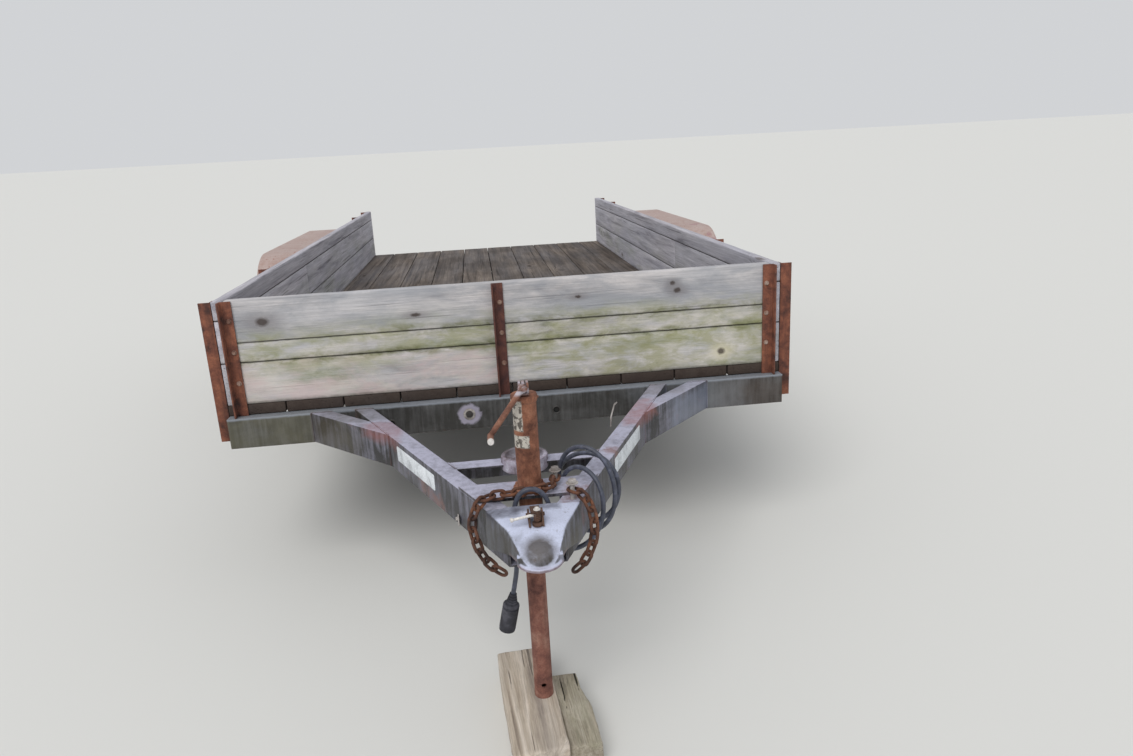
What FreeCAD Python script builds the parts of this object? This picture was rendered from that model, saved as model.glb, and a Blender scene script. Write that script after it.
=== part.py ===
import FreeCAD, Part
import math
import os

V = FreeCAD.Vector

# Old tandem-axle utility trailer with plank walls, parked nose-up on its tongue jack and a timber block.
#
# Trailer frame used while building, in millimetres: the origin is the middle of the front
# crossmember's top front edge, X runs across, Y runs rearwards and Z is square to the deck.
# Left is -X and right is +X, as seen from the coupler, looking back along the trailer.
# At the end all pieces but the block are tipped by the parking pitch and set down on the floor.

# Attitude
park_pitch = 2.8
axle_deck_height = 500.0
block_height = 89.0

# Bed frame, of steel channel
frame_width = 1880.0
bed_length = 4115.0
rail_depth = 102.0
rail_flange = 43.0
rail_web = 5.0
rail_lip = 7.0
joist_depth = 76.0
joist_flange = 36.0
joist_count = 6
cross_hole_radius = 11.5
cross_hole_drop = 60.0
cross_hole_x = [-412.0, 3.0, 143.0]

# Drawbar, of rectangular tube
tongue_half_angle = 25.0
tongue_inner_x = 469.0
tongue_width = 51.0
tongue_wall = 5.0
tongue_front_y = -985.0
brace_foot_x = 670.0
brace_angle = 44.0
crossbar_y = -590.0
crossbar_size = 51.0
crossbar_thickness = 6.0
boss_radius = 63.0
boss_height = 36.0
boss_rise = 16.0
boss_recess = 10.0
boss_rim = 13.0
reflector_length = 281.0
reflector_height = 45.0
reflector_thickness = 1.5
reflector_top = -15.0
reflector_rear_y = -353.0

# Coupler
coupler_plate = 6.0
coupler_rear_y = -895.0
ball_centre_y = -1064.0
nose_radius = 43.0
coupler_depth = 96.0
nose_depth = 54.0
nose_drop = 55.0
shoulder_y = -1050.0
shoulder_drop = 20.0
lip_radius = 50.0
lip_thickness = 5.0
ear_length = 28.0
ear_height = 22.0
ball_radius = 25.4
ball_clearance = 0.6
ball_dome_wall = 10.0
ball_centre_z = -46.0
latch_y = -975.0
latch_width = 34.0
latch_length = 62.0
latch_height = 24.0
latch_front_lean = 22.0
latch_rear_lean = 8.0
latch_cheek = 5.0
latch_pin_radius = 5.0
latch_pin_drop = 8.0
latch_pin_end = 6.0
latch_pin_shift = 6.0
lever_gap = 1.0
lever_rise = 10.0
lever_depth = 6.0
lever_foot_rise = 2.0
lever_foot_length = 12.0
handle_length = 78.0
handle_sweep = 22.0
handle_rise = 6.0
handle_radius = 5.0

# Jack
jack_y = -803.0
jack_outer_radius = 29.0
jack_wall = 4.0
jack_inner_radius = 24.0
jack_inner_wall = 4.5
jack_top = 246.0
jack_outer_bottom = -190.0
jack_overlap = 260.0
jack_longest = 1046.0
jack_cap_height = 14.0
jack_cap_wall = 3.0
jack_bore_clearance = 0.3
jack_plate_front = -850.0
jack_plate_rear = -752.0
jack_plate_thickness = 8.0
jack_flange_radius = 40.0
jack_flange_thickness = 6.0
jack_flange_seat = 1.0
jack_pin_radius = 6.5
jack_pin_height = 38.0
crank_length = 135.0
crank_rod_radius = 7.0
crank_swing = 37.0
crank_grip_length = 46.0
crank_grip_radius = 8.0
crank_stem_radius = 9.0
crank_stem_height = 16.0
crank_fork_width = 24.0
crank_fork_height = 18.0
crank_fork_rear = 10.0
crank_fork_front = 34.0
crank_hinge_height = 24.0
crank_pin_radius = 4.5
crank_pin_end = 8.0
crank_pin_rear = 14.0
crank_offset = 42.0
crank_shift = 4.0

# Timber block under the jack
block_width = 137.0
block_length = 400.0
block_turn = 4.0
block_shift_x = -36.0
block_shift_y = -8.3
slab_width = 84.0
slab_length = 290.0
slab_height = 70.0
slab_gap = 0.3
slab_setback = 15.0
slab_skew = 10.0
slab_front_skew = 19.0
slab_taper = 22.0

# Deck and walls, of two-inch lumber
board_thickness = 38.0
board_count = 10
board_gap = 4.0
wall_front_y = 33.0
plank_gap = 2.0
front_plank_widths = [140.0, 64.0, 140.0]
side_plank_widths = [140.0, 140.0, 64.0]
butt_joint_y = 1390.0
butt_joint_row = 1

# Stakes, of steel angle
stake_leg = 38.0
stake_thickness = 5.0
corner_stake_inset = 45.0
middle_stake_x = -28.0
stake_fender_gap = 125.0
side_stake_reach = 85.0
stake_top_gap = 3.0

# Running gear
axle_share = 0.6124
axle_spacing = 860.0
tyre_radius = 366.5
wheel_reach = 140.0
axle_drop = 122.0
axle_tube_radius = 30.0
axle_end_reach = 38.0
axle_arm_thickness = 28.0
axle_eye_radius = 34.0
spindle_radius = 17.0
spindle_end = 30.0
spring_inset = 21.5
spring_width = 44.0
leaf_thickness = 6.0
leaf_count = 3
spring_seat = 6.0
spring_half = 320.0
spring_eye_z = -175.0
spring_eye_radius = 14.0
pin_radius = 7.0
pin_clearance = 0.3
pin_end = 8.0
hanger_thickness = 6.0
hanger_gap = 1.0
hanger_half_width = 34.0
middle_hanger_half_width = 40.0
hanger_foot_half_width = 20.0
hanger_foot = 20.0
equaliser_thickness = 22.0
equaliser_arm = 20.0
equaliser_tip_share = 0.6
equaliser_gap = 4.0
strap_start_share = 0.5
strap_pin_share = 0.62
strap_end_share = 0.15
strap_root = 0.5
strap_tip = 0.7
strap_pin_end = 6.0
clamp_plate = 9.0
clamp_bolt_radius = 6.0
clamp_pitch = 92.0
clamp_margin = 14.0
clamp_side = 20.0
clamp_bolt_end = 12.0
clamp_bolt_gap = 2.0
clamp_bridge_gap = 1.0
seat_half = 38.0
seat_wrap = 12.0
seat_clearance = 0.3

# Wheels
wheel_sides = 32
hub_sides = 20
stud_sides = 8
nut_sides = 6
rim_half_width = 82.0
rim_radius = 206.0
disc_outer_x = 19.0
disc_thickness = 5.0
disc_knee_radius = 126.0
rim_bead_radius = 195.7
rim_well_radius = 166.0
rim_sheet = 4.5
rim_lip = 5.0
rim_lip_step = 2.0
rim_seat_x = 44.0
rim_well_x = 34.0
rim_seat_fall = 3.0
hub_bore_radius = 42.0
stud_circle_radius = 57.0
stud_count = 5
stud_radius = 6.2
stud_clearance = 1.3
nut_radius = 12.0
nut_height = 16.0
nut_gap = 2.0
stud_end = 9.0
stud_depth = 2.0
stud_hole_depth = 40.0
hub_flange = 12.0
hub_flange_radius = 72.0
hub_barrel_radius = 38.0
hub_inner_x = -62.0
hub_clearance = 0.05
pilot_clearance = 1.0
pilot_taper = 4.0
pilot_height = 22.0
cap_step = 2.0
cap_root_radius = 30.0
cap_radius = 29.0
cap_height = 56.0
cap_end_radius = 20.0
cap_end = 6.0
cap_wall = 22.0

# Fenders
fender_length = 1830.0
fender_top = 338.0
fender_reach = 275.0
fender_foot = -20.0
fender_corner = 280.0
fender_sheet = 2.5
fender_lip = 42.0
fender_back_gap = 0.3
fender_back_margin = 60.0

# Rear lamps
lamp_inset = 140.0
lamp_drop = 51.0
lamp_radius = 50.0
lamp_base_depth = 22.0
lamp_lens_depth = 20.0
lamp_rim = 7.0

# Safety chains
chain_wire = 8.0
chain_pitch = 27.0
chain_width = 29.0
chain_slack = 0.95
chain_corner = 8.0
chain_inner_corner = 1.5

# Lead and plug
cord_radius = 6.0
plug_radius = 20.5
plug_length = 77.0
plug_neck_length = 26.0
plug_neck_radius = 9.0
plug_neck_flare = 5.0
plug_wall = 3.0
plug_mouth_depth = 12.0
plug_groove_start = 8.0
plug_groove_end = 14.0
grommet_lip = 1.0
grommet_radius = 11.0

# Route of the lead: out of the right drawbar tube, twice round it, over its top to the coupler's
# rear edge and down through the gap in front of the jack, to hang by its own weight.
cord_route = [
    V(149, -630, -80), V(125.1, -618.85, -80), V(104, -617, -70), V(90, -624, -50),
    V(86, -636, -26), V(92, -650, -2), V(106, -664, 19), V(126, -676, 35),
    V(151, -689, 43), V(180, -704, 41), V(207, -720, 24), V(226, -733, -8),
    V(231, -740, -48), V(220, -741, -90), V(194, -734, -122), V(158, -722, -136),
    V(121, -710, -125), V(94, -700, -92), V(81, -698, -46), V(80, -702, 4),
    V(93, -714, 50), V(121, -732, 78), V(156, -752, 80), V(188, -772, 55),
    V(207, -786, 10), V(212, -792, -40), V(203, -790, -90), V(179, -780, -127),
    V(146, -764, -144), V(112, -748, -134), V(88, -738, -98), V(80, -736, -52),
    V(84, -738, -6), V(99, -752, 28), V(128, -780, 44), V(155, -812, 32),
    V(172, -838, -4), V(173, -852, -48), V(159, -858, -92), V(133, -858, -124),
    V(101, -861, -137), V(72, -868, -130), V(52, -875, -104), V(43, -880, -66),
    V(41, -883, -26), V(36, -885, 10), V(18, -886, 36), V(-8, -886, 43),
    V(-31, -885, 30), V(-43, -883, 0), V(-46, -880, -40), V(-47, -877, -82),
    V(-46, -874, -126), V(-48, -872, -168), V(-54, -869, -204), V(-61, -867, -236),
]

# Worked-out places
half_width = frame_width / 2
slope = math.tan(math.radians(tongue_half_angle))
tongue_span = tongue_width / math.cos(math.radians(tongue_half_angle))
tongue_outer_x = tongue_inner_x + tongue_span
deck_top = board_thickness
wall_top = deck_top + sum(front_plank_widths) + plank_gap * (len(front_plank_widths) - 1)
corner_stake_x = half_width - corner_stake_inset
axle_middle_y = axle_share * bed_length
wheel_centre_x = half_width + wheel_reach
axle_end_x = half_width + axle_end_reach
spring_x = half_width - spring_inset
fender_outer_x = half_width + fender_reach
fender_front_y = axle_middle_y - fender_length / 2
fender_rear_y = axle_middle_y + fender_length / 2
lamp_x = half_width - lamp_inset
spindle_z = (tyre_radius - axle_deck_height) / math.cos(math.radians(park_pitch))
rock = axle_spacing / 2 * math.tan(math.radians(park_pitch))


# Shape helpers
def prism(points, low, high):
    """Upright prism over a plan outline, a list of (x, y), from z = low to high."""
    corners = [V(x, y, low) for x, y in points]
    outline = Part.makePolygon(corners + [corners[0]])
    return Part.Face(outline).extrude(V(0, 0, high - low))


def box(x0, x1, y0, y1, z0, z1):
    return Part.makeBox(x1 - x0, y1 - y0, z1 - z0, V(x0, y0, z0))


def rod(start, end, radius):
    """Round bar between two points."""
    run = end - start
    return Part.makeCylinder(radius, run.Length, start, run)


def tube(start, end, radius, wall):
    return rod(start, end, radius).cut(rod(start, end, radius - wall))


def profile_prism(points, direction):
    """Prism over any flat closed outline given as vectors."""
    return Part.Face(Part.makePolygon(points + [points[0]])).extrude(direction)


def mirrored(shape):
    """The same piece on the other side of the trailer."""
    return shape.mirror(V(0, 0, 0), V(1, 0, 0))


def fused(shapes):
    return shapes[0].multiFuse(shapes[1:]).removeSplitter() if len(shapes) > 1 else shapes[0]


def facet_ring(profile, sides, centre, outward):
    """Turned piece about an X axis, with flat facets.

    profile is a list of (distance outwards along the axis, radius to the middle of a facet).
    The facets are turned so that one lies flat on the floor once the trailer is tipped.
    """
    step = 2 * math.pi / sides
    grow = 1 / math.cos(step / 2)
    rings = []
    for along, radius in profile:
        ring = []
        for i in range(sides):
            angle = (i + 0.5) * step - math.pi / 2 + math.radians(park_pitch)
            reach = radius * grow
            y = centre.y + reach * math.cos(angle)
            z = centre.z + reach * math.sin(angle)
            ring.append(V(centre.x + outward * along, y, z))
        rings.append(ring)
    faces = []
    for k, ring in enumerate(rings):
        following = rings[(k + 1) % len(rings)]
        start_flat = profile[k][1] == 0
        end_flat = profile[(k + 1) % len(rings)][1] == 0
        if start_flat and end_flat:
            continue
        for i in range(sides):
            j = (i + 1) % sides
            corners = [ring[i], ring[j], following[j], following[i]]
            if start_flat:
                corners = [ring[i], following[j], following[i]]
            if end_flat:
                corners = [ring[i], ring[j], following[i]]
            faces.append(Part.Face(Part.makePolygon(corners + [corners[0]])))
    solid = Part.makeSolid(Part.makeShell(faces))
    if solid.Volume < 0:
        solid.reverse()
    return solid


def channel_section(depth, flange, web, lip):
    """Open channel as (distance in from the web's outer face, height below the top)."""
    return [
        (0, 0), (flange, 0), (flange, -lip), (web, -lip),
        (web, lip - depth), (flange, lip - depth), (flange, -depth), (0, -depth),
    ]


def across_channel(y, facing, half, depth, flange, web, lip):
    """Channel along X whose web's outer face is at y and faces forwards (-1) or rearwards (+1)."""
    points = [V(-half, y - facing * u, v) for u, v in channel_section(depth, flange, web, lip)]
    return profile_prism(points, V(2 * half, 0, 0))


# Bed frame
def end_crossmember(y, facing):
    """End channel, mitred into the side rails."""
    piece = across_channel(y, facing, half_width, rail_depth, rail_flange, rail_web, rail_lip)
    inner = half_width - rail_flange
    deep = y - facing * rail_flange
    mitre = prism([(-half_width, y), (half_width, y), (inner, deep), (-inner, deep)], -rail_depth, 0)
    return piece.common(mitre)


def front_crossmember():
    piece = end_crossmember(0, -1)
    for x in cross_hole_x:
        piece = piece.cut(rod(V(x, -1, -cross_hole_drop), V(x, rail_web + 1, -cross_hole_drop),
                              cross_hole_radius))
    return piece


def side_rail():
    section = channel_section(rail_depth, rail_flange, rail_web, rail_lip)
    points = [V(half_width - u, 0, v) for u, v in section]
    piece = profile_prism(points, V(0, bed_length, 0))
    inner = half_width - rail_flange
    mitre = prism([(half_width, 0), (half_width, bed_length), (inner, bed_length - rail_flange),
                   (inner, rail_flange)], -rail_depth, 0)
    return piece.common(mitre)


def joists():
    """Crossmembers between the side rails, their webs facing forwards."""
    pieces = []
    for i in range(joist_count):
        y = bed_length * (i + 1) / (joist_count + 1)
        pieces.append(across_channel(y, -1, half_width - rail_flange, joist_depth, joist_flange,
                                     rail_web, rail_lip))
    return Part.makeCompound(pieces)


# Drawbar
def tongue_member():
    """Right drawbar tube, from the front crossmember to the coupler."""
    def strip(inset, front, rear):
        shift = inset / math.cos(math.radians(tongue_half_angle))
        inner = tongue_inner_x + shift
        outer = tongue_outer_x - shift
        return [(inner + slope * rear, rear), (outer + slope * rear, rear),
                (outer + slope * front, front), (inner + slope * front, front)]
    outside = prism(strip(0, tongue_front_y, 0), -rail_depth, 0)
    inside = prism(strip(tongue_wall, tongue_front_y - 1, 1), tongue_wall - rail_depth, -tongue_wall)
    return outside.cut(inside)


def brace():
    """Right gusset tube between the drawbar and the front crossmember."""
    rise = math.tan(math.radians(brace_angle))
    span = tongue_width / math.cos(math.radians(brace_angle))
    wall = tongue_wall / math.cos(math.radians(brace_angle))

    def meet(foot):
        y = (foot - tongue_outer_x) / (slope - rise)
        return (foot + rise * y, y)
    outer = brace_foot_x
    inner = brace_foot_x - span
    outside = prism([(outer, 0), (inner, 0), meet(inner), meet(outer)], -rail_depth, 0)
    hollow = [(outer - wall, 0), (inner + wall, 0), meet(inner + wall), meet(outer - wall)]
    return outside.cut(prism(hollow, tongue_wall - rail_depth, -tongue_wall))


def inner_face_x(y):
    return tongue_inner_x + slope * y


def outer_face_x(y):
    return tongue_outer_x + slope * y


def crossbar():
    """Angle across the drawbar, its flat leg on top and its other leg down at the rear."""
    front = crossbar_y - crossbar_size / 2
    rear = crossbar_y + crossbar_size / 2
    flat = prism([(-inner_face_x(front), front), (inner_face_x(front), front),
                  (inner_face_x(rear), rear), (-inner_face_x(rear), rear)],
                 -crossbar_thickness, 0)
    face = rear - crossbar_thickness
    leg = prism([(-inner_face_x(face), face), (inner_face_x(face), face),
                 (inner_face_x(rear), rear), (-inner_face_x(rear), rear)],
                -crossbar_size, -crossbar_thickness)
    return fused([flat, leg])


def crossbar_boss():
    """Dished round boss that sits over the crossbar."""
    top = boss_rise
    base = top - boss_height
    axis = V(0, crossbar_y, 0)
    piece = Part.makeCylinder(boss_radius, boss_height, axis + V(0, 0, base))
    dish = Part.makeCylinder(boss_radius - boss_rim, boss_recess, axis + V(0, 0, top - boss_recess))
    return piece.cut(dish).cut(crossbar())


def reflector():
    """Blank strip on the outer face of the right drawbar tube."""
    angle = math.radians(tongue_half_angle)
    along = V(-math.sin(angle), -math.cos(angle), 0)
    out = V(math.cos(angle), -math.sin(angle), 0)
    start = V(outer_face_x(reflector_rear_y), reflector_rear_y, reflector_top)
    end = start + along * reflector_length
    drop = V(0, 0, -reflector_height)
    return profile_prism([start, end, end + drop, start + drop], out * reflector_thickness)


# Coupler
def coupler_outline(inset):
    """Plan of the coupler: straight sides along the drawbar, closed by the round nose."""
    angle = math.radians(tongue_half_angle)
    radius = nose_radius - inset
    reach = outer_face_x(coupler_rear_y) + (coupler_plate - inset) / math.cos(angle)
    tangent = V(radius * math.cos(angle), ball_centre_y - radius * math.sin(angle), 0)
    rear = V(reach, coupler_rear_y, 0)
    nose = V(0, ball_centre_y - radius, 0)
    left_rear = V(-rear.x, rear.y, 0)
    left_tangent = V(-tangent.x, tangent.y, 0)
    edges = [
        Part.LineSegment(left_rear, rear).toShape(),
        Part.LineSegment(rear, tangent).toShape(),
        Part.Arc(tangent, nose, left_tangent).toShape(),
        Part.LineSegment(left_tangent, left_rear).toShape(),
    ]
    return Part.Face(Part.Wire(edges))


def coupler():
    """Pressed drawbar coupler, open below. Its top steps down to the nose round the ball dome."""
    top = coupler_plate
    height = top + coupler_depth
    skin = coupler_outline(0)
    skin.translate(V(0, 0, -coupler_depth))
    body = skin.extrude(V(0, 0, height))
    side = half_width
    fall_y = latch_y - latch_length / 2
    nose_y = ball_centre_y - nose_radius
    ahead = nose_y - 1
    top_line = [(fall_y, top), (shoulder_y, top - shoulder_drop), (nose_y, top - nose_drop)]
    above = [V(-side, y, z) for y, z in top_line]
    above += [V(-side, ahead, top - nose_drop), V(-side, ahead, top + 1), V(-side, fall_y, top + 1)]
    body = body.cut(profile_prism(above, V(2 * side, 0, 0)))
    floor = -coupler_depth - 1
    behind = coupler_rear_y + 1
    below = [V(-side, behind, floor), V(-side, ahead, floor), V(-side, ahead, -nose_depth),
             V(-side, ball_centre_y + nose_radius, -nose_depth), V(-side, behind, -coupler_depth)]
    body = body.cut(profile_prism(below, V(2 * side, 0, 0)))
    hollow = coupler_outline(coupler_plate)
    hollow.translate(V(0, 0, floor))
    under = [V(-side, behind, floor), V(-side, behind, 0)]
    under += [V(-side, y, z - coupler_plate) for y, z in top_line]
    under.append(V(-side, nose_y, floor))
    body = body.cut(hollow.extrude(V(0, 0, height)).common(profile_prism(under, V(2 * side, 0, 0))))
    centre = V(0, ball_centre_y, ball_centre_z)
    foot = V(0, ball_centre_y, -nose_depth)
    socket = ball_radius + ball_clearance
    dome = Part.makeSphere(socket + ball_dome_wall, centre)
    dome = dome.common(box(-side, side, ahead - side, 0, -nose_depth, side))
    neck = Part.makeCylinder(socket + ball_dome_wall, ball_centre_z + nose_depth, foot)
    front_half = box(-side, side, ahead - side, ball_centre_y + ear_length / 2, -nose_depth, side)
    lip = Part.makeCylinder(lip_radius, lip_thickness, foot).common(front_half)
    ears = []
    for x in (-lip_radius, nose_radius - 1):
        ears.append(box(x, x + lip_radius - nose_radius + 1, ball_centre_y - ear_length / 2,
                        ball_centre_y + ear_length / 2, -nose_depth, ear_height - nose_depth))
    body = fused([body, dome, neck, lip] + ears)
    bore = Part.makeSphere(socket, centre)
    throat = Part.makeCylinder(socket, ball_centre_z + nose_depth + 1, foot - V(0, 0, 1))
    return body.cut(bore).cut(throat)


def latch():
    """Latch on the coupler: two cheeks, the pin between them, the lever and its side handle."""
    half = latch_width / 2
    front = latch_y - latch_length / 2
    rear = latch_y + latch_length / 2
    base = coupler_plate
    top = base + latch_height
    cheeks = []
    for x in (-half, half - latch_cheek):
        outline = [V(x, front, base), V(x, rear, base), V(x, rear - latch_rear_lean, top),
                   V(x, front + latch_front_lean, top)]
        cheeks.append(profile_prism(outline, V(latch_cheek, 0, 0)))
    pin_y = latch_y + latch_pin_shift
    pin_z = top - latch_pin_drop
    pin_reach = half + latch_pin_end
    pin = rod(V(-pin_reach, pin_y, pin_z), V(pin_reach, pin_y, pin_z), latch_pin_radius)
    inner = latch_cheek + lever_gap - half
    foot_rear = rear - lever_rise
    tip = front + lever_rise
    raised = top + lever_rise - lever_depth
    outline = [(foot_rear - lever_foot_length, base + lever_depth), (foot_rear, base + lever_foot_rise),
               (foot_rear, raised), (tip, top + lever_rise), (tip, raised)]
    lever = profile_prism([V(inner, y, z) for y, z in outline], V(-2 * inner, 0, 0))
    bend = V(0, latch_y + 2 * latch_pin_shift, top + lever_foot_rise)
    handle = rod(bend, bend + V(-handle_length, -handle_sweep, handle_rise), handle_radius)
    return fused(cheeks + [pin, lever, handle])


# Jack
def jack_plate():
    """Plate across the two drawbar tubes, bored for the jack."""
    front = jack_plate_front
    rear = jack_plate_rear
    piece = prism([(-outer_face_x(front), front), (outer_face_x(front), front),
                   (outer_face_x(rear), rear), (-outer_face_x(rear), rear)],
                  0, jack_plate_thickness)
    return piece.cut(rod(V(0, jack_y, -1), V(0, jack_y, jack_plate_thickness + 1),
                         jack_outer_radius + jack_bore_clearance))


def jack_outer():
    """Outer jack tube with its bolting flange and its cap."""
    base = jack_plate_thickness
    body = tube(V(0, jack_y, jack_outer_bottom), V(0, jack_y, jack_top), jack_outer_radius, jack_wall)
    flange = tube(V(0, jack_y, base), V(0, jack_y, base + jack_flange_thickness),
                  jack_flange_radius, jack_flange_radius - jack_outer_radius + jack_flange_seat)
    cap_low = V(0, jack_y, jack_top - jack_cap_height)
    cap = rod(cap_low, V(0, jack_y, jack_top + jack_cap_wall), jack_outer_radius + jack_cap_wall)
    cap = cap.cut(rod(cap_low, V(0, jack_y, jack_top - jack_cap_wall), jack_outer_radius - jack_wall))
    return fused([body, flange, cap])


def ram_point(height):
    """The tipped ram's middle line at a height above the floor."""
    low = tipped_point(V(0, jack_y, jack_outer_bottom))
    axis = (tipped_point(V(0, jack_y, jack_top)) - low).normalize()
    return low - axis * ((low.z - height) / axis.z)


def jack_inner():
    """Ram, tipped with the trailer, cut level with the block and drilled for its foot's pin."""
    low = V(0, jack_y, jack_top - jack_longest)
    high = V(0, jack_y, jack_outer_bottom + jack_overlap)
    ram = tip(tube(low, high, jack_inner_radius, jack_inner_wall))
    ram = ram.cut(box(-frame_width, frame_width, -bed_length, bed_length, -bed_length, block_height))
    middle = ram_point(block_height + jack_pin_height)
    across = V(jack_inner_radius + 1, 0, 0).cross((tipped_point(high) - tipped_point(low)).normalize())
    return ram.cut(rod(middle - across, middle + across, jack_pin_radius))


def jack_crank():
    """Folding crank: a fork and pin on the screw head, and a rod that hangs to the left."""
    base = jack_top + jack_cap_wall
    stem = rod(V(0, jack_y, base), V(0, jack_y, base + crank_stem_height), crank_stem_radius)
    hinge_y = jack_y - crank_offset
    hinge_z = base + crank_hinge_height
    fork_low = hinge_z - crank_fork_height / 2 - 1
    fork = box(-crank_fork_width / 2, crank_fork_width / 2, jack_y - crank_fork_front,
               jack_y + crank_fork_rear, fork_low, fork_low + crank_fork_height)
    swing = math.radians(crank_swing)
    start = V(-crank_shift, hinge_y, hinge_z)
    end = start + V(-math.sin(swing), 0, -math.cos(swing)) * crank_length
    pin = rod(V(0, hinge_y - crank_pin_end, hinge_z), V(0, jack_y + crank_pin_rear, hinge_z),
              crank_pin_radius)
    arm = rod(start, end, crank_rod_radius)
    grip = rod(end, end - V(0, crank_grip_length, 0), crank_grip_radius)
    return fused([stem, fork, pin, arm, grip])


# Deck and walls
def deck():
    pitch = (frame_width + board_gap) / board_count
    pieces = []
    for i in range(board_count):
        x = -half_width + i * pitch
        pieces.append(box(x, x + pitch - board_gap, wall_front_y, bed_length, 0, board_thickness))
    return Part.makeCompound(pieces)


def front_planks():
    reach = half_width - board_thickness
    pieces = []
    low = deck_top
    for width in front_plank_widths:
        pieces.append(box(-reach, reach, wall_front_y, wall_front_y + board_thickness, low, low + width))
        low += width + plank_gap
    return Part.makeCompound(pieces)


def side_planks():
    pieces = []
    low = deck_top
    inner = half_width - board_thickness
    for row, width in enumerate(side_plank_widths):
        runs = [(wall_front_y, bed_length)]
        if row == butt_joint_row:
            runs = [(wall_front_y, butt_joint_y - plank_gap / 2), (butt_joint_y + plank_gap / 2, bed_length)]
        for start, end in runs:
            pieces.append(box(inner, half_width, start, end, low, low + width))
        low += width + plank_gap
    return Part.makeCompound(pieces)


# Stakes
def front_stakes():
    """Angles that stand on the front crossmember, against the front planks."""
    pieces = []
    top = wall_top - stake_top_gap
    for x in (-corner_stake_x, middle_stake_x, corner_stake_x):
        left = x - stake_leg / 2
        right = x + stake_leg / 2
        fin = left if x < 0 else right - stake_thickness
        flat = box(left, right, wall_front_y - stake_thickness, wall_front_y, 0, top)
        leg = box(fin, fin + stake_thickness, 0, wall_front_y - stake_thickness, 0, top)
        pieces.append(fused([flat, leg]))
    return Part.makeCompound(pieces)


def side_stakes():
    """Angles bolted to the right rail and planks, one leg against them and one standing out."""
    pieces = []
    top = wall_top - stake_top_gap
    starts = [wall_front_y, (wall_front_y + fender_front_y) / 2, fender_rear_y + stake_fender_gap,
              bed_length - stake_leg]
    for y in starts:
        flat = box(half_width, half_width + stake_thickness, y, y + stake_leg, -side_stake_reach, top)
        leg = box(half_width, half_width + stake_leg, y, y + stake_thickness, -side_stake_reach, top)
        pieces.append(fused([flat, leg]))
    return Part.makeCompound(pieces)


# Running gear
def axle_place(end):
    """Centre of an axle's spindles: end is -1 for the front axle and +1 for the rear one."""
    return axle_middle_y + end * axle_spacing / 2, spindle_z + end * rock


def axle(end):
    """Drop axle: a low round beam with an upright arm and a spindle at each end."""
    y, z = axle_place(end)
    low = z - axle_drop
    pieces = [rod(V(-axle_end_x, y, low), V(axle_end_x, y, low), axle_tube_radius)]
    for side in (-1, 1):
        inner = side * (axle_end_x - axle_arm_thickness)
        outer = side * axle_end_x
        arm = [V(inner, y - axle_tube_radius, low), V(inner, y + axle_tube_radius, low),
               V(inner, y + axle_eye_radius, z), V(inner, y - axle_eye_radius, z)]
        pieces.append(profile_prism(arm, V(outer - inner, 0, 0)))
        pieces.append(rod(V(inner, y, z), V(outer, y, z), axle_eye_radius))
        pieces.append(rod(V(outer, y, z), V(side * (wheel_centre_x + spindle_end), y, z),
                          spindle_radius))
    return fused(pieces)


def leaf_z(end, share):
    """Height of the main leaf's middle line; share runs from -1 at its front eye to +1 at its rear."""
    seat = axle_seat_z(end)
    eye_front, eye_rear = eye_heights(end)
    chord = eye_front + (eye_rear - eye_front) * (share + 1) / 2
    middle = (eye_front + eye_rear) / 2
    return chord + (seat - middle) * (1 - share * share)


def leaf_line(end, share):
    """Height of the main leaf's middle line along its straight runs between the leaf ends."""
    stations = sorted({place for place, _ in spring_steps})
    for low, high in zip(stations, stations[1:]):
        if share <= high:
            part = (share - low) / (high - low)
            return leaf_z(end, low) * (1 - part) + leaf_z(end, high) * part
    return leaf_z(end, share)


def axle_seat_z(end):
    """Middle line of the main leaf over the axle beam."""
    y, z = axle_place(end)
    return z - axle_drop + axle_tube_radius + spring_seat + (leaf_count - 0.5) * leaf_thickness


def eye_heights(end):
    """Eye centres, front then rear. The eyes on the equaliser follow its rocking."""
    if end < 0:
        return spring_eye_z, spring_eye_z - 2 * rock
    return spring_eye_z + 2 * rock, spring_eye_z


# Leaf pack from end to end: share of the half length, leaves at that place
spring_steps = [
    (-1.0, 1), (-0.7, 1), (-0.7, 2), (-0.4, 2), (-0.4, 3), (0.0, 3),
    (0.4, 3), (0.4, 2), (0.7, 2), (0.7, 1), (1.0, 1),
]


def spring(end):
    """Leaf spring with an eye at each end."""
    y, _ = axle_place(end)
    inner = spring_x - spring_width / 2
    outer = spring_x + spring_width / 2

    def point(share, depth):
        return V(inner, y + share * spring_half, leaf_z(end, share) + leaf_thickness * (0.5 - depth))
    upper = [point(share, 0) for share in (-1.0, -0.7, -0.4, 0.0, 0.4, 0.7, 1.0)]
    lower = [point(share, leaves) for share, leaves in reversed(spring_steps)]
    pieces = [profile_prism(upper + lower, V(spring_width, 0, 0))]
    bores = []
    for side, eye_z in zip((-1, 1), eye_heights(end)):
        place = y + side * spring_half
        pieces.append(rod(V(inner, place, eye_z), V(outer, place, eye_z), spring_eye_radius))
        bores.append(rod(V(inner - 1, place, eye_z), V(outer + 1, place, eye_z),
                         pin_radius + pin_clearance))
    solid = fused(pieces)
    for bore in bores:
        solid = solid.cut(bore)
    return solid


def springs():
    return Part.makeCompound([spring(-1), spring(1)])


def cheek_pair(outline):
    """Two plates either side of a spring, from a list of (y, z)."""
    plates = []
    reach = spring_width / 2 + hanger_gap
    for x in (spring_x - reach - hanger_thickness, spring_x + reach):
        points = [V(x, y, z) for y, z in outline]
        plates.append(profile_prism(points, V(hanger_thickness, 0, 0)))
    return plates


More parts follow.
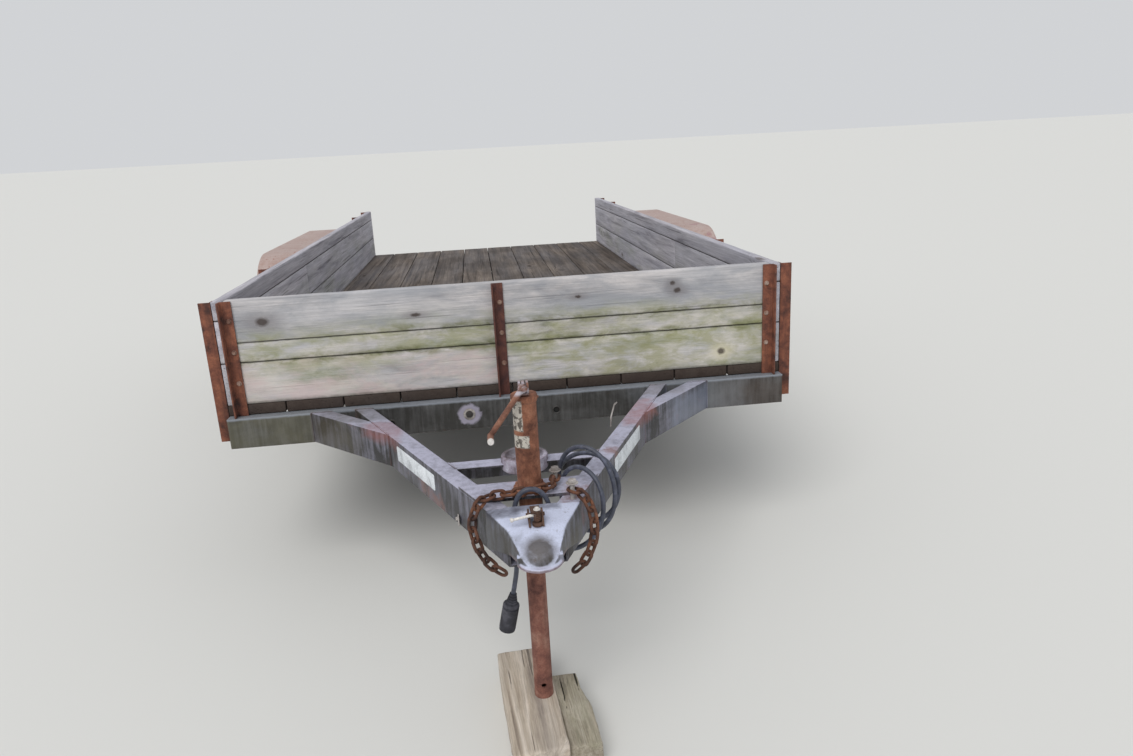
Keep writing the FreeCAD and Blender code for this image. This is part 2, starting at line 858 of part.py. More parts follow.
def hangers():
    """Spring hangers under the right rail: front, middle and rear, with their pins."""
    front_y = axle_middle_y - axle_spacing / 2 - spring_half
    rear_y = axle_middle_y + axle_spacing / 2 + spring_half
    under = -rail_depth
    pieces = []
    places = [(front_y, hanger_half_width), (axle_middle_y, middle_hanger_half_width),
              (rear_y, hanger_half_width)]
    for y, reach in places:
        low = spring_eye_z - hanger_foot
        plates = cheek_pair([(y - reach, under), (y + reach, under), (y + hanger_foot_half_width, low),
                             (y - hanger_foot_half_width, low)])
        outer = spring_width / 2 + hanger_gap + hanger_thickness
        pin_reach = outer + pin_end
        pin = rod(V(spring_x - pin_reach, y, spring_eye_z), V(spring_x + pin_reach, y, spring_eye_z),
                  pin_radius)
        cap = box(spring_x - outer, spring_x + outer, y - reach, y + reach, under - hanger_thickness, under)
        pieces.append(fused(plates + [pin, cap]))
    return Part.makeCompound(pieces)


def equaliser():
    """Rocker on the middle hanger that joins the two springs of a side."""
    reach = axle_spacing / 2 - spring_half
    half = equaliser_thickness / 2
    ends = [(axle_middle_y - reach, spring_eye_z - 2 * rock),
            (axle_middle_y + reach, spring_eye_z + 2 * rock)]
    pieces = []
    link = spring_width / 2 + hanger_gap
    for y, z in ends:
        far = V(spring_x - half, y, z)
        arm_start = V(spring_x - half, axle_middle_y, spring_eye_z)
        run = far - arm_start
        square = V(0, -run.z, run.y).normalize() * equaliser_arm
        inward = run * (1 - (spring_eye_radius + equaliser_gap) / run.Length)
        narrow = square * equaliser_tip_share
        outline = [arm_start + square, arm_start + inward + narrow, arm_start + inward - narrow,
                   arm_start - square]
        pieces.append(profile_prism(outline, V(equaliser_thickness, 0, 0)))
        root = arm_start + run * strap_start_share
        end = far + run * strap_end_share
        for x in (-link - hanger_thickness, link):
            aside = V(x + half, 0, 0)
            strap = [root + aside + square * strap_root, end + aside + square * strap_tip,
                     end + aside - square * strap_tip, root + aside - square * strap_root]
            pieces.append(profile_prism(strap, V(hanger_thickness, 0, 0)))
        outer = link + hanger_thickness + strap_pin_end
        middle = arm_start + run * strap_pin_share
        for place in (far, middle):
            pieces.append(rod(V(spring_x - outer, place.y, place.z), V(spring_x + outer, place.y, place.z),
                              pin_radius))
    reach = hanger_thickness + link + pin_end
    bore = rod(V(spring_x - reach, axle_middle_y, spring_eye_z),
               V(spring_x + reach, axle_middle_y, spring_eye_z), pin_radius + pin_clearance)
    return fused(pieces).cut(bore)


def axle_clamps():
    """Seat, tie plate and bolts that hold each right spring on its axle."""
    pieces = []
    inner = spring_x - spring_width / 2
    outer = spring_x + spring_width / 2
    reach = clamp_pitch / 2 + clamp_margin
    bolt_gap = clamp_bolt_radius + clamp_bolt_gap
    for end in (-1, 1):
        y, z = axle_place(end)
        low = z - axle_drop
        under = (leaf_count - 0.5) * leaf_thickness + seat_clearance
        top = [V(inner, y + place, leaf_line(end, place / spring_half) - under)
               for place in (-seat_half, 0, seat_half)]
        base = low + axle_tube_radius - seat_wrap
        seat = profile_prism([V(inner, y - seat_half, base)] + top + [V(inner, y + seat_half, base)],
                             V(spring_width, 0, 0))
        pieces.append(seat.cut(rod(V(inner - 1, y, low), V(outer + 1, y, low),
                                   axle_tube_radius + seat_clearance)))
        plate_top = low - axle_tube_radius - seat_clearance
        parts = [box(inner - clamp_side, outer + clamp_side, y - reach, y + reach,
                     plate_top - clamp_plate, plate_top)]
        for step in (-1, 1):
            place = step * clamp_pitch / 2
            bridge = leaf_line(end, place / spring_half) + leaf_thickness / 2
            bridge += clamp_bolt_radius + clamp_bridge_gap
            ends = [V(x, y + place, bridge) for x in (inner - bolt_gap, outer + bolt_gap)]
            parts.append(rod(ends[0], ends[1], clamp_bolt_radius))
            for point in ends:
                foot = V(point.x, point.y, plate_top - clamp_plate - clamp_bolt_end)
                parts.append(rod(foot, point, clamp_bolt_radius))
                parts.append(Part.makeSphere(clamp_bolt_radius, point))
        pieces.append(fused(parts))
    return Part.makeCompound(pieces)


# Wheels
tyre_profile = [
    (-88, 366.5), (88, 366.5), (106, 350), (117, 305), (112, 258), (90, 216), (76, 207), (73, 196),
    (-73, 196), (-76, 207), (-90, 216), (-112, 258), (-117, 305), (-106, 350),
]


def wheel_centre(side, end):
    y, z = axle_place(end)
    return V(side * wheel_centre_x, y, z)


def tyre(side, end):
    return facet_ring(tyre_profile, wheel_sides, wheel_centre(side, end), side)


def rim(side, end):
    """Steel wheel: a drop-centre barrel and its dished disc in one turned section."""
    half = rim_half_width
    bead = rim_bead_radius
    seat = bead - rim_seat_fall
    well = rim_well_radius
    sheet = rim_sheet
    lip = half - rim_lip
    face = disc_outer_x
    back = face - disc_thickness
    bore = hub_bore_radius
    inner_seat = rim_seat_x - sheet
    inner_well = rim_well_x - sheet
    profile = [
        (half, rim_radius), (lip, rim_radius), (lip - rim_lip_step, bead), (rim_seat_x, seat),
        (rim_well_x, well), (-rim_well_x, well), (-rim_seat_x, seat), (rim_lip_step - lip, bead),
        (-lip, rim_radius), (-half, rim_radius), (rim_lip_step - half, bead - sheet),
        (-inner_seat, seat - sheet), (-inner_well, well - sheet), (-rim_lip - sheet, well - sheet),
        (back, disc_knee_radius - rim_lip_step), (back, bore), (face, bore), (face, disc_knee_radius),
        (-sheet, well - sheet), (inner_well, well - sheet), (inner_seat, seat - sheet),
        (half - rim_lip_step, bead - sheet),
    ]
    centre = wheel_centre(side, end)
    solid = facet_ring(profile, wheel_sides, centre, side)
    for i in range(stud_count):
        angle = 2 * math.pi * i / stud_count + math.pi / 2
        place = centre + V(0, math.cos(angle), math.sin(angle)) * stud_circle_radius
        solid = solid.cut(rod(place, place + V(side * stud_hole_depth, 0, 0),
                              stud_radius + stud_clearance))
    return solid


def hub(side, end):
    """Hub with its flange, grease cap, wheel studs and nuts."""
    centre = wheel_centre(side, end)
    back = disc_outer_x - disc_thickness
    bearing = spindle_radius + hub_clearance
    pilot = hub_bore_radius - pilot_clearance
    shoulder = back + pilot_height
    cap = back + cap_height
    profile = [
        (hub_inner_x, bearing), (hub_inner_x, hub_barrel_radius), (back - hub_flange, hub_barrel_radius),
        (back - hub_flange, hub_flange_radius), (back, hub_flange_radius), (back, pilot),
        (shoulder, pilot - pilot_taper), (shoulder + cap_step, cap_root_radius), (cap, cap_radius),
        (cap + cap_end, cap_end_radius), (cap + cap_end, 0), (cap + cap_end - cap_wall, 0),
        (cap + cap_end - cap_wall, bearing),
    ]
    solid = facet_ring(profile, hub_sides, centre, side)
    pieces = [solid]
    for i in range(stud_count):
        angle = 2 * math.pi * i / stud_count + math.pi / 2
        place = centre + V(side * (back - stud_depth), math.cos(angle) * stud_circle_radius,
                           math.sin(angle) * stud_circle_radius)
        out = V(side, 0, 0)
        stud = profile_ngon(place, out, stud_radius, stud_sides)
        pieces.append(stud.extrude(out * (disc_thickness + nut_height + stud_end)))
        nut = profile_ngon(place + out * (disc_thickness + nut_gap), out, nut_radius, nut_sides)
        pieces.append(nut.extrude(out * nut_height))
    return fused(pieces)


def profile_ngon(centre, out, radius, sides):
    """Flat regular outline square to X."""
    points = []
    for i in range(sides):
        angle = 2 * math.pi * i / sides
        points.append(centre + V(0, math.cos(angle), math.sin(angle)) * radius)
    face = Part.Face(Part.makePolygon(points + [points[0]]))
    return face


# Fenders
def arch_outline(inset, foot):
    """Side view of the fender from its front foot over the top to its rear foot, as edges."""
    x = half_width + fender_back_gap
    front = fender_front_y + inset
    rear = fender_rear_y - inset
    top = fender_top - inset
    radius = fender_corner - inset
    bend = radius * (1 - math.sqrt(0.5))
    points = [
        V(x, front, foot), V(x, front, top - radius), V(x, front + bend, top - bend),
        V(x, front + radius, top), V(x, rear - radius, top), V(x, rear - bend, top - bend),
        V(x, rear, top - radius), V(x, rear, foot),
    ]
    return [
        Part.LineSegment(points[0], points[1]).toShape(),
        Part.Arc(points[1], points[2], points[3]).toShape(),
        Part.LineSegment(points[3], points[4]).toShape(),
        Part.Arc(points[4], points[5], points[6]).toShape(),
        Part.LineSegment(points[6], points[7]).toShape(),
    ]


def arch_face(inset, foot):
    edges = arch_outline(inset, foot)
    start = edges[0].Vertexes[0].Point
    end = edges[-1].Vertexes[-1].Point
    edges.append(Part.LineSegment(end, start).toShape())
    return Part.Face(Part.Wire(edges))


def fender():
    """Right tandem fender: bent band, outer lip and the back sheet against the planks."""
    inner = half_width + fender_back_gap
    width = fender_outer_x - inner
    block = arch_face(0, fender_foot).extrude(V(width, 0, 0))
    hollow = arch_face(fender_sheet, fender_foot - 1)
    hollow.translate(V(fender_sheet, 0, 0))
    shell = block.cut(hollow.extrude(V(width - 2 * fender_sheet, 0, 0)))
    window = arch_face(fender_lip, fender_foot - 1)
    window.translate(V(width - fender_sheet - 1, 0, 0))
    shell = shell.cut(window.extrude(V(fender_sheet + 2, 0, 0)))
    clear = box(inner - 1, inner + fender_sheet + 1, fender_front_y + fender_back_margin,
                fender_rear_y - fender_back_margin, fender_foot - 1, -fender_foot)
    return shell.cut(clear)


# Rear lamps
def rear_lamp():
    """Round lamp on the rear crossmember: rubber base and domed lens."""
    base = V(lamp_x, bed_length, -lamp_drop)
    ring = rod(base, base + V(0, lamp_base_depth, 0), lamp_radius)
    lens_start = base + V(0, lamp_base_depth, 0)
    lens = rod(lens_start, lens_start + V(0, lamp_lens_depth, 0), lamp_radius - lamp_rim)
    return fused([ring, lens])


# Safety chains: each route runs from the anchor bolt to the free end that hangs beside the coupler
chain_routes = [
    [V(66, -780, 24), V(53, -832, 24), V(24, -856, 24), V(-20, -859, 24), V(-64, -864, 24),
     V(-98, -872, 27), V(-124, -888, 22), V(-140, -908, 0), V(-144, -926, -34), V(-130, -944, -74),
     V(-112, -954, -104), V(-84, -960, -126), V(-58, -963, -138)],
    [V(92, -868, 24), V(112, -886, 22), V(131, -906, 4), V(138, -924, -26), V(137, -938, -58),
     V(128, -948, -92), V(108, -956, -122), V(78, -960, -144)],
]
anchor_bolt_radius = 6.2
anchor_head_radius = 15.0
anchor_head_height = 6.0


def link_solid(middle, along, flat):
    """One chain link with flat facets; along is its length and flat lies in its plane."""
    normal = along.cross(flat)
    end = chain_pitch / 2 + chain_wire
    half = chain_width / 2

    def face(length, width, corner):
        ring = [(length, width - corner), (length - corner, width), (corner - length, width),
                (-length, width - corner), (-length, corner - width), (corner - length, -width),
                (length - corner, -width), (length, corner - width)]
        points = [middle + along * u + flat * v - normal * (chain_wire / 2) for u, v in ring]
        return Part.Face(Part.makePolygon(points + [points[0]]))
    outer = face(end, half, chain_corner).extrude(normal * chain_wire)
    inner_face = face(end - chain_wire, half - chain_wire, chain_inner_corner)
    inner_face.translate(normal * -1)
    return outer.cut(inner_face.extrude(normal * (chain_wire + 2)))


def chain(route):
    """Links threaded along the route, each turned a quarter from the last."""
    lengths = [(b - a).Length for a, b in zip(route, route[1:])]
    step = chain_pitch - chain_slack
    count = int(sum(lengths) / step)
    links = []

    def at(distance):
        for (a, b), length in zip(zip(route, route[1:]), lengths):
            if distance <= length:
                return a + (b - a) * (distance / length)
            distance -= length
        return route[-1]
    side = V(0, 0, 0)
    for i in range(count):
        start = at(i * step)
        end = at((i + 1) * step)
        along = (end - start).normalize()
        if i == 0:
            side = V(0, 0, 1).cross(along)
        side = (side - along * side.dot(along)).normalize()
        flat = side if i % 2 == 0 else along.cross(side)
        links.append(link_solid((start + end) * 0.5, along, flat))
    return links


def safety_chains():
    links = []
    for route in chain_routes:
        links += chain(route)
    return Part.makeCompound(links)


def chain_anchors():
    """Bolt and washer through the first link of each chain."""
    pieces = []
    for route, base in zip(chain_routes, (jack_plate_thickness, 0.0)):
        along = (route[1] - route[0]).normalize()
        place = route[0] + along * anchor_bolt_radius
        head = place.z + chain_width / 2 + 2
        shank = rod(V(place.x, place.y, base), V(place.x, place.y, head), anchor_bolt_radius)
        cap = rod(V(place.x, place.y, head), V(place.x, place.y, head + anchor_head_height),
                  anchor_head_radius)
        pieces.append(fused([shank, cap]))
    return Part.makeCompound(pieces)


# Lead and plug
def cord_path(route):
    """Straight runs joined by tangent arcs, as edges. It prints the tightest arc."""
    runs = [b - a for a, b in zip(route, route[1:])]
    edges = []
    radii = []
    start = route[0]
    for i in range(1, len(route) - 1):
        before = runs[i - 1]
        after = runs[i]
        turn = before.getAngle(after)
        reach = 0.45 * min(before.Length, after.Length)
        radii.append(reach / math.tan(turn / 2))
        arc_start = route[i] - before / before.Length * reach
        arc_end = route[i] + after / after.Length * reach
        chord_middle = (arc_start + arc_end) * 0.5
        inward = (chord_middle - route[i]).normalize()
        middle = route[i] + inward * (radii[-1] / math.cos(turn / 2) - radii[-1])
        edges.append(Part.LineSegment(start, arc_start).toShape())
        edges.append(Part.Arc(arc_start, middle, arc_end).toShape())
        start = arc_end
    edges.append(Part.LineSegment(start, route[-1]).toShape())
    print("lead radii", [round(radius) for radius in radii])
    return Part.Wire(edges)


def cord():
    path = cord_path(cord_route)
    run = cord_route[1] - cord_route[0]
    section = Part.Wire([Part.Circle(cord_route[0], run, cord_radius).toShape()])
    solid = path.makePipeShell([section], True, False)
    expected = math.pi * cord_radius ** 2 * path.Length
    print("lead length", round(path.Length), "volume over section times length", solid.Volume / expected)
    return solid


def cord_grommet():
    """Tapered rubber sleeve where the lead leaves the drawbar."""
    exit_point = cord_route[0]
    angle = math.radians(tongue_half_angle)
    inward = V(-math.cos(angle), math.sin(angle), 0)
    length = (inner_face_x(exit_point.y) - exit_point.x) * math.cos(angle)
    return Part.makeCone(grommet_radius, cord_radius + grommet_lip, length,
                         exit_point - inward * length, inward)


def cord_plug():
    """Round trailer plug: moulded neck, body and the collar at its mouth."""
    end = cord_route[-1]
    run = (end - cord_route[-2]).normalize()
    neck_end = end + run * plug_neck_length
    neck = Part.makeCone(plug_neck_radius, plug_neck_radius + plug_neck_flare, plug_neck_length, end, run)
    body = rod(neck_end, neck_end + run * plug_length, plug_radius)
    core = plug_radius - plug_wall
    groove_start = neck_end + run * plug_groove_start
    groove_end = neck_end + run * plug_groove_end
    groove = rod(groove_start, groove_end, plug_radius + 1).cut(rod(groove_start, groove_end, core))
    mouth = neck_end + run * (plug_length - plug_mouth_depth)
    hollow = rod(mouth, mouth + run * (plug_mouth_depth + 1), core)
    return fused([neck, body]).cut(groove).cut(hollow)


# Setting down on the floor
def tip(shape):
    """Tip a piece by the parking pitch and lift it so that the tyres stand on z = 0."""
    turned = shape.copy()
    turned.rotate(V(0, 0, 0), V(1, 0, 0), -park_pitch)
    lift = axle_deck_height + axle_middle_y * math.sin(math.radians(park_pitch))
    turned.translate(V(0, 0, lift))
    return turned


def tipped_point(point):
    vertex = tip(Part.Vertex(point))
    return vertex.Point


def jack_block():
    """Timber block that lies flat on the floor under the ram."""
    middle = ram_point(block_height)
    piece = box(-block_width / 2, block_width / 2, -block_length / 2, block_length / 2, 0, block_height)
    piece.rotate(V(0, 0, 0), V(0, 0, 1), block_turn)
    piece.translate(V(middle.x + block_shift_x, middle.y + block_shift_y, 0))
    return piece


def jack_slab():
    """Split-off slab that lies against the block."""
    middle = ram_point(block_height)
    low = block_width / 2 + slab_gap
    front = slab_setback - block_length / 2
    rear = slab_length - block_length / 2
    outline = [(low, front), (low + slab_width, front + slab_front_skew),
               (low + slab_width - slab_taper, rear), (low, rear + slab_skew)]
    piece = prism(outline, 0, slab_height)
    piece.rotate(V(0, 0, 0), V(0, 0, 1), block_turn)
    piece.translate(V(middle.x + block_shift_x, middle.y + block_shift_y, 0))
    return piece


def main():
    os.makedirs("parts", exist_ok=True)
    nodes = {
        "front_crossmember": front_crossmember(),
        "rear_crossmember": end_crossmember(bed_length, 1),
        "side_rail_right": side_rail(),
        "side_rail_left": mirrored(side_rail()),
        "joists": joists(),
        "tongue_right": tongue_member(),
        "tongue_left": mirrored(tongue_member()),
        "tongue_braces": Part.makeCompound([brace(), mirrored(brace())]),
        "crossbar": crossbar(),
        "crossbar_boss": crossbar_boss(),
        "reflector_strips": Part.makeCompound([reflector(), mirrored(reflector())]),
        "coupler": coupler(),
        "coupler_latch": latch(),
        "jack_plate": jack_plate(),
        "jack_outer": jack_outer(),
        "jack_crank": jack_crank(),
        "deck_boards": deck(),
        "front_planks": front_planks(),
        "right_planks": side_planks(),
        "left_planks": mirrored(side_planks()),
        "front_stakes": front_stakes(),
        "right_stakes": side_stakes(),
        "left_stakes": mirrored(side_stakes()),
        "fender_right": fender(),
        "fender_left": mirrored(fender()),
        "axle_front": axle(-1),
        "axle_rear": axle(1),
        "springs_right": springs(),
        "springs_left": mirrored(springs()),
        "hangers_right": hangers(),
        "hangers_left": mirrored(hangers()),
        "equaliser_right": equaliser(),
        "equaliser_left": mirrored(equaliser()),
        "axle_clamps_right": axle_clamps(),
        "axle_clamps_left": mirrored(axle_clamps()),
        "rear_lamp_right": rear_lamp(),
        "rear_lamp_left": mirrored(rear_lamp()),
        "safety_chains": safety_chains(),
        "chain_anchors": chain_anchors(),
        "cord": cord(),
        "cord_grommet": cord_grommet(),
        "cord_plug": cord_plug(),
    }
    corners = {"front": -1, "rear": 1}
    sides = {"left": -1, "right": 1}
    for end_name, end in corners.items():
        for side_name, side in sides.items():
            nodes["tyre_" + end_name + "_" + side_name] = tyre(side, end)
            nodes["rim_" + end_name + "_" + side_name] = rim(side, end)
            nodes["hub_" + end_name + "_" + side_name] = hub(side, end)
    placed = {name: tip(shape) for name, shape in nodes.items()}
    placed["jack_inner"] = jack_inner()
    placed["jack_block"] = jack_block()
    placed["jack_slab"] = jack_slab()
    on_cord = ("cord", "cord_plug")
    whole = Part.makeCompound([shape for name, shape in placed.items() if name not in on_cord])
    limits = whole.optimalBoundingBox(False, False)
    centre = V(-(limits.XMin + limits.XMax) / 2, -(limits.YMin + limits.YMax) / 2, 0)
    for name, shape in placed.items():
        shape.translate(centre)
        shape.exportStep("parts/" + name + ".step")
    print("overall", limits, "shift", centre)
    for end_name, end in corners.items():
        y, z = axle_place(end)
        print("axle", end_name, tipped_point(V(0, y, z)) + centre)


main()
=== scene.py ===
# %% [markdown]
# # Old utility trailer, parked nose-up on its jack
# This lesson dresses a steel and timber trailer whose solids are already in place. Each cell makes
# one piece or finish: first what it is on the real trailer, then how it is modelled. Lengths are in
# metres, except outlines that are spun and chain routes, which are in millimetres.

# %% Load the solids
import bpy
import bmesh
import math
from mathutils import Matrix, Quaternion, Vector


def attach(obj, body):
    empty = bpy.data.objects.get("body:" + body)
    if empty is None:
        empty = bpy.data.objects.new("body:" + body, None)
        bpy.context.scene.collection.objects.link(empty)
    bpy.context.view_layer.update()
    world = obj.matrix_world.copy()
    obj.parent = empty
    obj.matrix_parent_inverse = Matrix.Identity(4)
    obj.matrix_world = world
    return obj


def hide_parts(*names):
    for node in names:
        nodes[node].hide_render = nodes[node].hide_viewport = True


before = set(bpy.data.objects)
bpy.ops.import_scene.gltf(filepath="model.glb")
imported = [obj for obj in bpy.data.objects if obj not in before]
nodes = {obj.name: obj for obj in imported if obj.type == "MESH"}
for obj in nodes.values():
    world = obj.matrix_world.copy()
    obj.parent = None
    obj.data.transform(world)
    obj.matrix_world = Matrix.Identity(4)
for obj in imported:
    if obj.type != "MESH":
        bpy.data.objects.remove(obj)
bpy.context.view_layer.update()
for image_view in bpy.context.selected_objects:
    image_view.select_set(False)

# %% [markdown]
# ## The trailer's own frame
# The bed slopes nose-up by 2.8 degrees, so a plank that is level along the bed is not level in the room.
# It is easier to model in the trailer's own frame: the origin is the middle of the front crossmember's
# top front edge, X runs across, Y runs rearwards and Z is square to the deck. PARKED carries a point
# from that frame to the room, and every piece that is modelled level is parked at the end.

# %% From the trailer's frame to the room
PITCH = math.radians(2.8)
PARKED = Matrix.Translation((0, -1.518169, 0.623103)) @ Matrix.Rotation(-PITCH, 4, "X")


def parked(point):
    """A point of the trailer's frame, in the room."""
    return PARKED @ Vector(point)


print("coupler ball in the room:", parked((0, -1.064, -0.046)))

# %% [markdown]
# ## The camera
# The photograph was taken a little above the walls, in front of the coupler, looking slightly down and
# to the left. A fitted camera gives the place, the turn and a lens of about 26 mm on a 36 mm sensor.

# %% Place the camera
camera_data = bpy.data.cameras.new("camera")
camera_data.lens = 25.899
camera_data.sensor_width = 36
camera = bpy.data.objects.new("camera", camera_data)
bpy.context.scene.collection.objects.link(camera)
turn = Vector((-0.2734, 0.0673, -0.1058))
looking = Quaternion(turn.normalized(), turn.length).to_matrix().to_4x4()
camera.matrix_world = (
    Matrix.Translation(parked((-0.0789, -2.6419, 0.8018)))
    @ Matrix.Rotation(-PITCH, 4, "X") @ looking @ Matrix.Rotation(math.radians(90), 4, "X")
)
bpy.context.scene.camera = camera
print("camera at", camera.matrix_world.translation)

# %% [markdown]
# ## The lead
# A rubber-jacketed lighting lead leaves the right drawbar tube, goes twice round it in loose loops,
# runs under the coupler's rear edge and hangs down with its plug. A lead has a fixed length and bends
# softly, so it is a NURBS curve: its points are where the lead is led, and the curve rounds between them.

# %% Route of the lead, in the trailer's frame
LEAD_DIAMETER = 0.012
lead_points = [
    (0.149, -0.63, -0.08), (0.1251, -0.61885, -0.08), (0.104, -0.617, -0.07), (0.09, -0.624, -0.05),
    (0.086, -0.636, -0.026), (0.092, -0.65, -0.002), (0.106, -0.664, 0.019), (0.126, -0.676, 0.035),
    (0.151, -0.689, 0.043), (0.18, -0.704, 0.041), (0.207, -0.72, 0.024), (0.226, -0.733, -0.008),
    (0.231, -0.74, -0.048), (0.22, -0.741, -0.09), (0.194, -0.734, -0.122), (0.158, -0.722, -0.136),
    (0.121, -0.71, -0.125), (0.094, -0.7, -0.092), (0.081, -0.698, -0.046), (0.08, -0.702, 0.004),
    (0.093, -0.714, 0.05), (0.121, -0.732, 0.078), (0.156, -0.752, 0.08), (0.188, -0.772, 0.055),
    (0.207, -0.786, 0.01), (0.212, -0.792, -0.04), (0.203, -0.79, -0.09), (0.179, -0.78, -0.127),
    (0.146, -0.764, -0.144), (0.112, -0.748, -0.134), (0.088, -0.738, -0.098), (0.08, -0.736, -0.052),
    (0.084, -0.738, -0.006), (0.099, -0.752, 0.028), (0.128, -0.78, 0.044), (0.155, -0.812, 0.032),
    (0.172, -0.838, -0.004), (0.173, -0.852, -0.048), (0.159, -0.858, -0.092), (0.133, -0.858, -0.124),
    (0.101, -0.861, -0.137), (0.072, -0.868, -0.13), (0.052, -0.875, -0.104), (0.043, -0.88, -0.066),
    (0.041, -0.883, -0.026), (0.036, -0.885, 0.01), (0.018, -0.886, 0.036), (-0.008, -0.886, 0.043),
    (-0.031, -0.885, 0.03), (-0.043, -0.883, 0), (-0.046, -0.88, -0.04), (-0.047, -0.877, -0.082),
    (-0.046, -0.874, -0.126), (-0.048, -0.872, -0.168), (-0.054, -0.869, -0.204),
    (-0.061, -0.867, -0.236),
]

lead_data = bpy.data.curves.new("lead", "CURVE")
lead_data.dimensions = "3D"
lead_line = lead_data.splines.new("NURBS")
lead_line.points.add(len(lead_points) - 1)
for knot, point in zip(lead_line.points, lead_points):
    knot.co = (*parked(point), 1)
lead_line.order_u = 3
lead_line.use_endpoint_u = True
lead_data.bevel_depth = LEAD_DIAMETER / 2
lead_data.bevel_resolution = 4
lead_data.resolution_u = 6
lead_data.use_fill_caps = True
lead = bpy.data.objects.new("lighting_lead", lead_data)
bpy.context.scene.collection.objects.link(lead)
print("lead points:", len(lead_points))

# %% [markdown]
# ## Working habits
# An operator acts on all that is selected, so each step starts by choosing one object and nothing else.
# Faces, edges and corners are picked in code by where they are. These few helpers do that, run one
# modifier at a time and park the finished piece.

# %% Choose, pick and park
def only(piece):
    """Selects one object and nothing else."""
    for other in bpy.context.selected_objects:
        other.select_set(False)
    bpy.context.view_layer.objects.active = piece
    piece.select_set(True)
    return piece


def edit(piece):
    """Opens a piece for editing with nothing selected."""
    only(piece)
    bpy.ops.object.mode_set(mode="EDIT")
    bpy.ops.mesh.select_all(action="DESELECT")


def pick(kind, test):
    """Selects the corners, edges or faces that pass the test, and returns how many did."""
    bpy.ops.mesh.select_mode(type=kind)
    bpy.ops.mesh.select_all(action="DESELECT")
    data = bpy.context.object.data
    mesh = bmesh.from_edit_mesh(data)
    found = 0
    for item in {"VERT": mesh.verts, "EDGE": mesh.edges, "FACE": mesh.faces}[kind]:
        item.select = bool(test(item))
        found += item.select
    mesh.select_flush_mode()
    bmesh.update_edit_mesh(data)
    return found


def pick_all():
    bpy.ops.mesh.select_all(action="SELECT")


def is_sharp(edge):
    """An edge between two faces that turns by more than a radian."""
    return len(edge.link_faces) == 2 and edge.calc_face_angle() > 1


def nudge(way, **settings):
    """Moves what is selected."""
    bpy.ops.transform.translate(value=way, **settings)


def pull(way):
    """Extrudes what is selected."""
    bpy.ops.mesh.extrude_region_move(TRANSFORM_OT_translate={"value": way})


def round_edges(width, segments=2):
    """Bevels the selected edges, or the edges of the selected faces."""
    bpy.ops.mesh.bevel(offset=width, segments=segments, affect="EDGES")


def middle_of(item):
    """Middle of an edge or face."""
    return sum((corner.co for corner in item.verts), Vector()) / len(item.verts)


def leave_edit():
    bpy.ops.object.mode_set(mode="OBJECT")
    return bpy.context.object


def modify(piece, kind, **settings):
    """Adds one modifier and applies it."""
    only(piece)
    made = piece.modifiers.new(kind.lower(), kind)
    for name, value in settings.items():
        setattr(made, name, value)
    bpy.ops.object.modifier_apply(modifier=made.name)
    return piece


def smooth(piece, degrees=35):
    """Smooth shading that keeps edges sharper than the given angle."""
    only(piece)
    bpy.ops.object.shade_smooth_by_angle(angle=math.radians(degrees))
    return piece


def moved(point):
    return Matrix.Translation(point)


def turning(degrees, axis):
    return Matrix.Rotation(math.radians(degrees), 4, axis)


def started_piece(name=None):
    """The primitive that was just added, chosen alone, with its place and size left in its mesh."""
    piece = only(bpy.context.object)
    bpy.ops.object.transform_apply(location=True, rotation=True, scale=True)
    piece.name = name or piece.name
    return piece


def twin_of(piece):
    """A copy with a mesh of its own."""
    twin = piece.copy()
    twin.data = piece.data.copy()
    bpy.context.scene.collection.objects.link(twin)
    return twin


def place(piece, matrix):
    """Moves a piece by a matrix and leaves the move in its mesh."""
    only(piece)
    piece.matrix_world = matrix @ piece.matrix_world
    bpy.ops.object.transform_apply(location=True, rotation=True, scale=True)
    return piece


def joined(pieces, name):
    """Several meshes as one object."""
    only(pieces[0])
    for piece in pieces[1:]:
        piece.select_set(True)
    if len(pieces) > 1:
        bpy.ops.object.join()
    whole = bpy.context.object
    whole.name = name
    whole.data.name = name
    return whole


def copied(pattern, matrices, name):
    """Copies of one pattern at each matrix, each with its own mesh, as one object. The pattern goes."""
    copies = []
    for matrix in matrices:
        copies.append(place(twin_of(pattern), matrix))
    bpy.data.objects.remove(pattern)
    return joined(copies, name)


print("helpers ready")

# %% [markdown]
# ## Starting shapes
# Most pieces start as a box or as a round bar, both broken at the edges as any real edge is. Round
# pieces such as tyres are turned: an outline is drawn point by point and spun about its axis.

# %% Boxes, bars and turned shapes
def outward(piece):
    """Merges doubles and turns all faces outwards."""
    edit(piece)
    pick_all()
    bpy.ops.mesh.remove_doubles(threshold=0.00001)
    bpy.ops.mesh.normals_make_consistent(inside=False)
    return leave_edit()


def drawn(name, points):
    """A line through the points, left open for editing with its last point selected."""
    bpy.ops.mesh.primitive_plane_add(size=0.001)
    line = only(bpy.context.object)
    line.name = name
    edit(line)
    bpy.ops.mesh.select_mode(type="VERT")
    pick_all()
    bpy.ops.mesh.merge(type="CENTER")
    nudge(points[0])
    for start, end in zip(points, points[1:]):
        pull([b - a for a, b in zip(start, end)])
    return line


def slab(name, low, high, edge=0.0015, rounds=2):
    """A box between two corners, with rounded edges."""
    low = Vector(low)
    high = Vector(high)
    bpy.ops.mesh.primitive_cube_add(size=1, location=(low + high) / 2, scale=high - low)
    piece = started_piece(name)
    if edge:
        edit(piece)
        pick_all()
        round_edges(edge, rounds)
        leave_edit()
    return piece


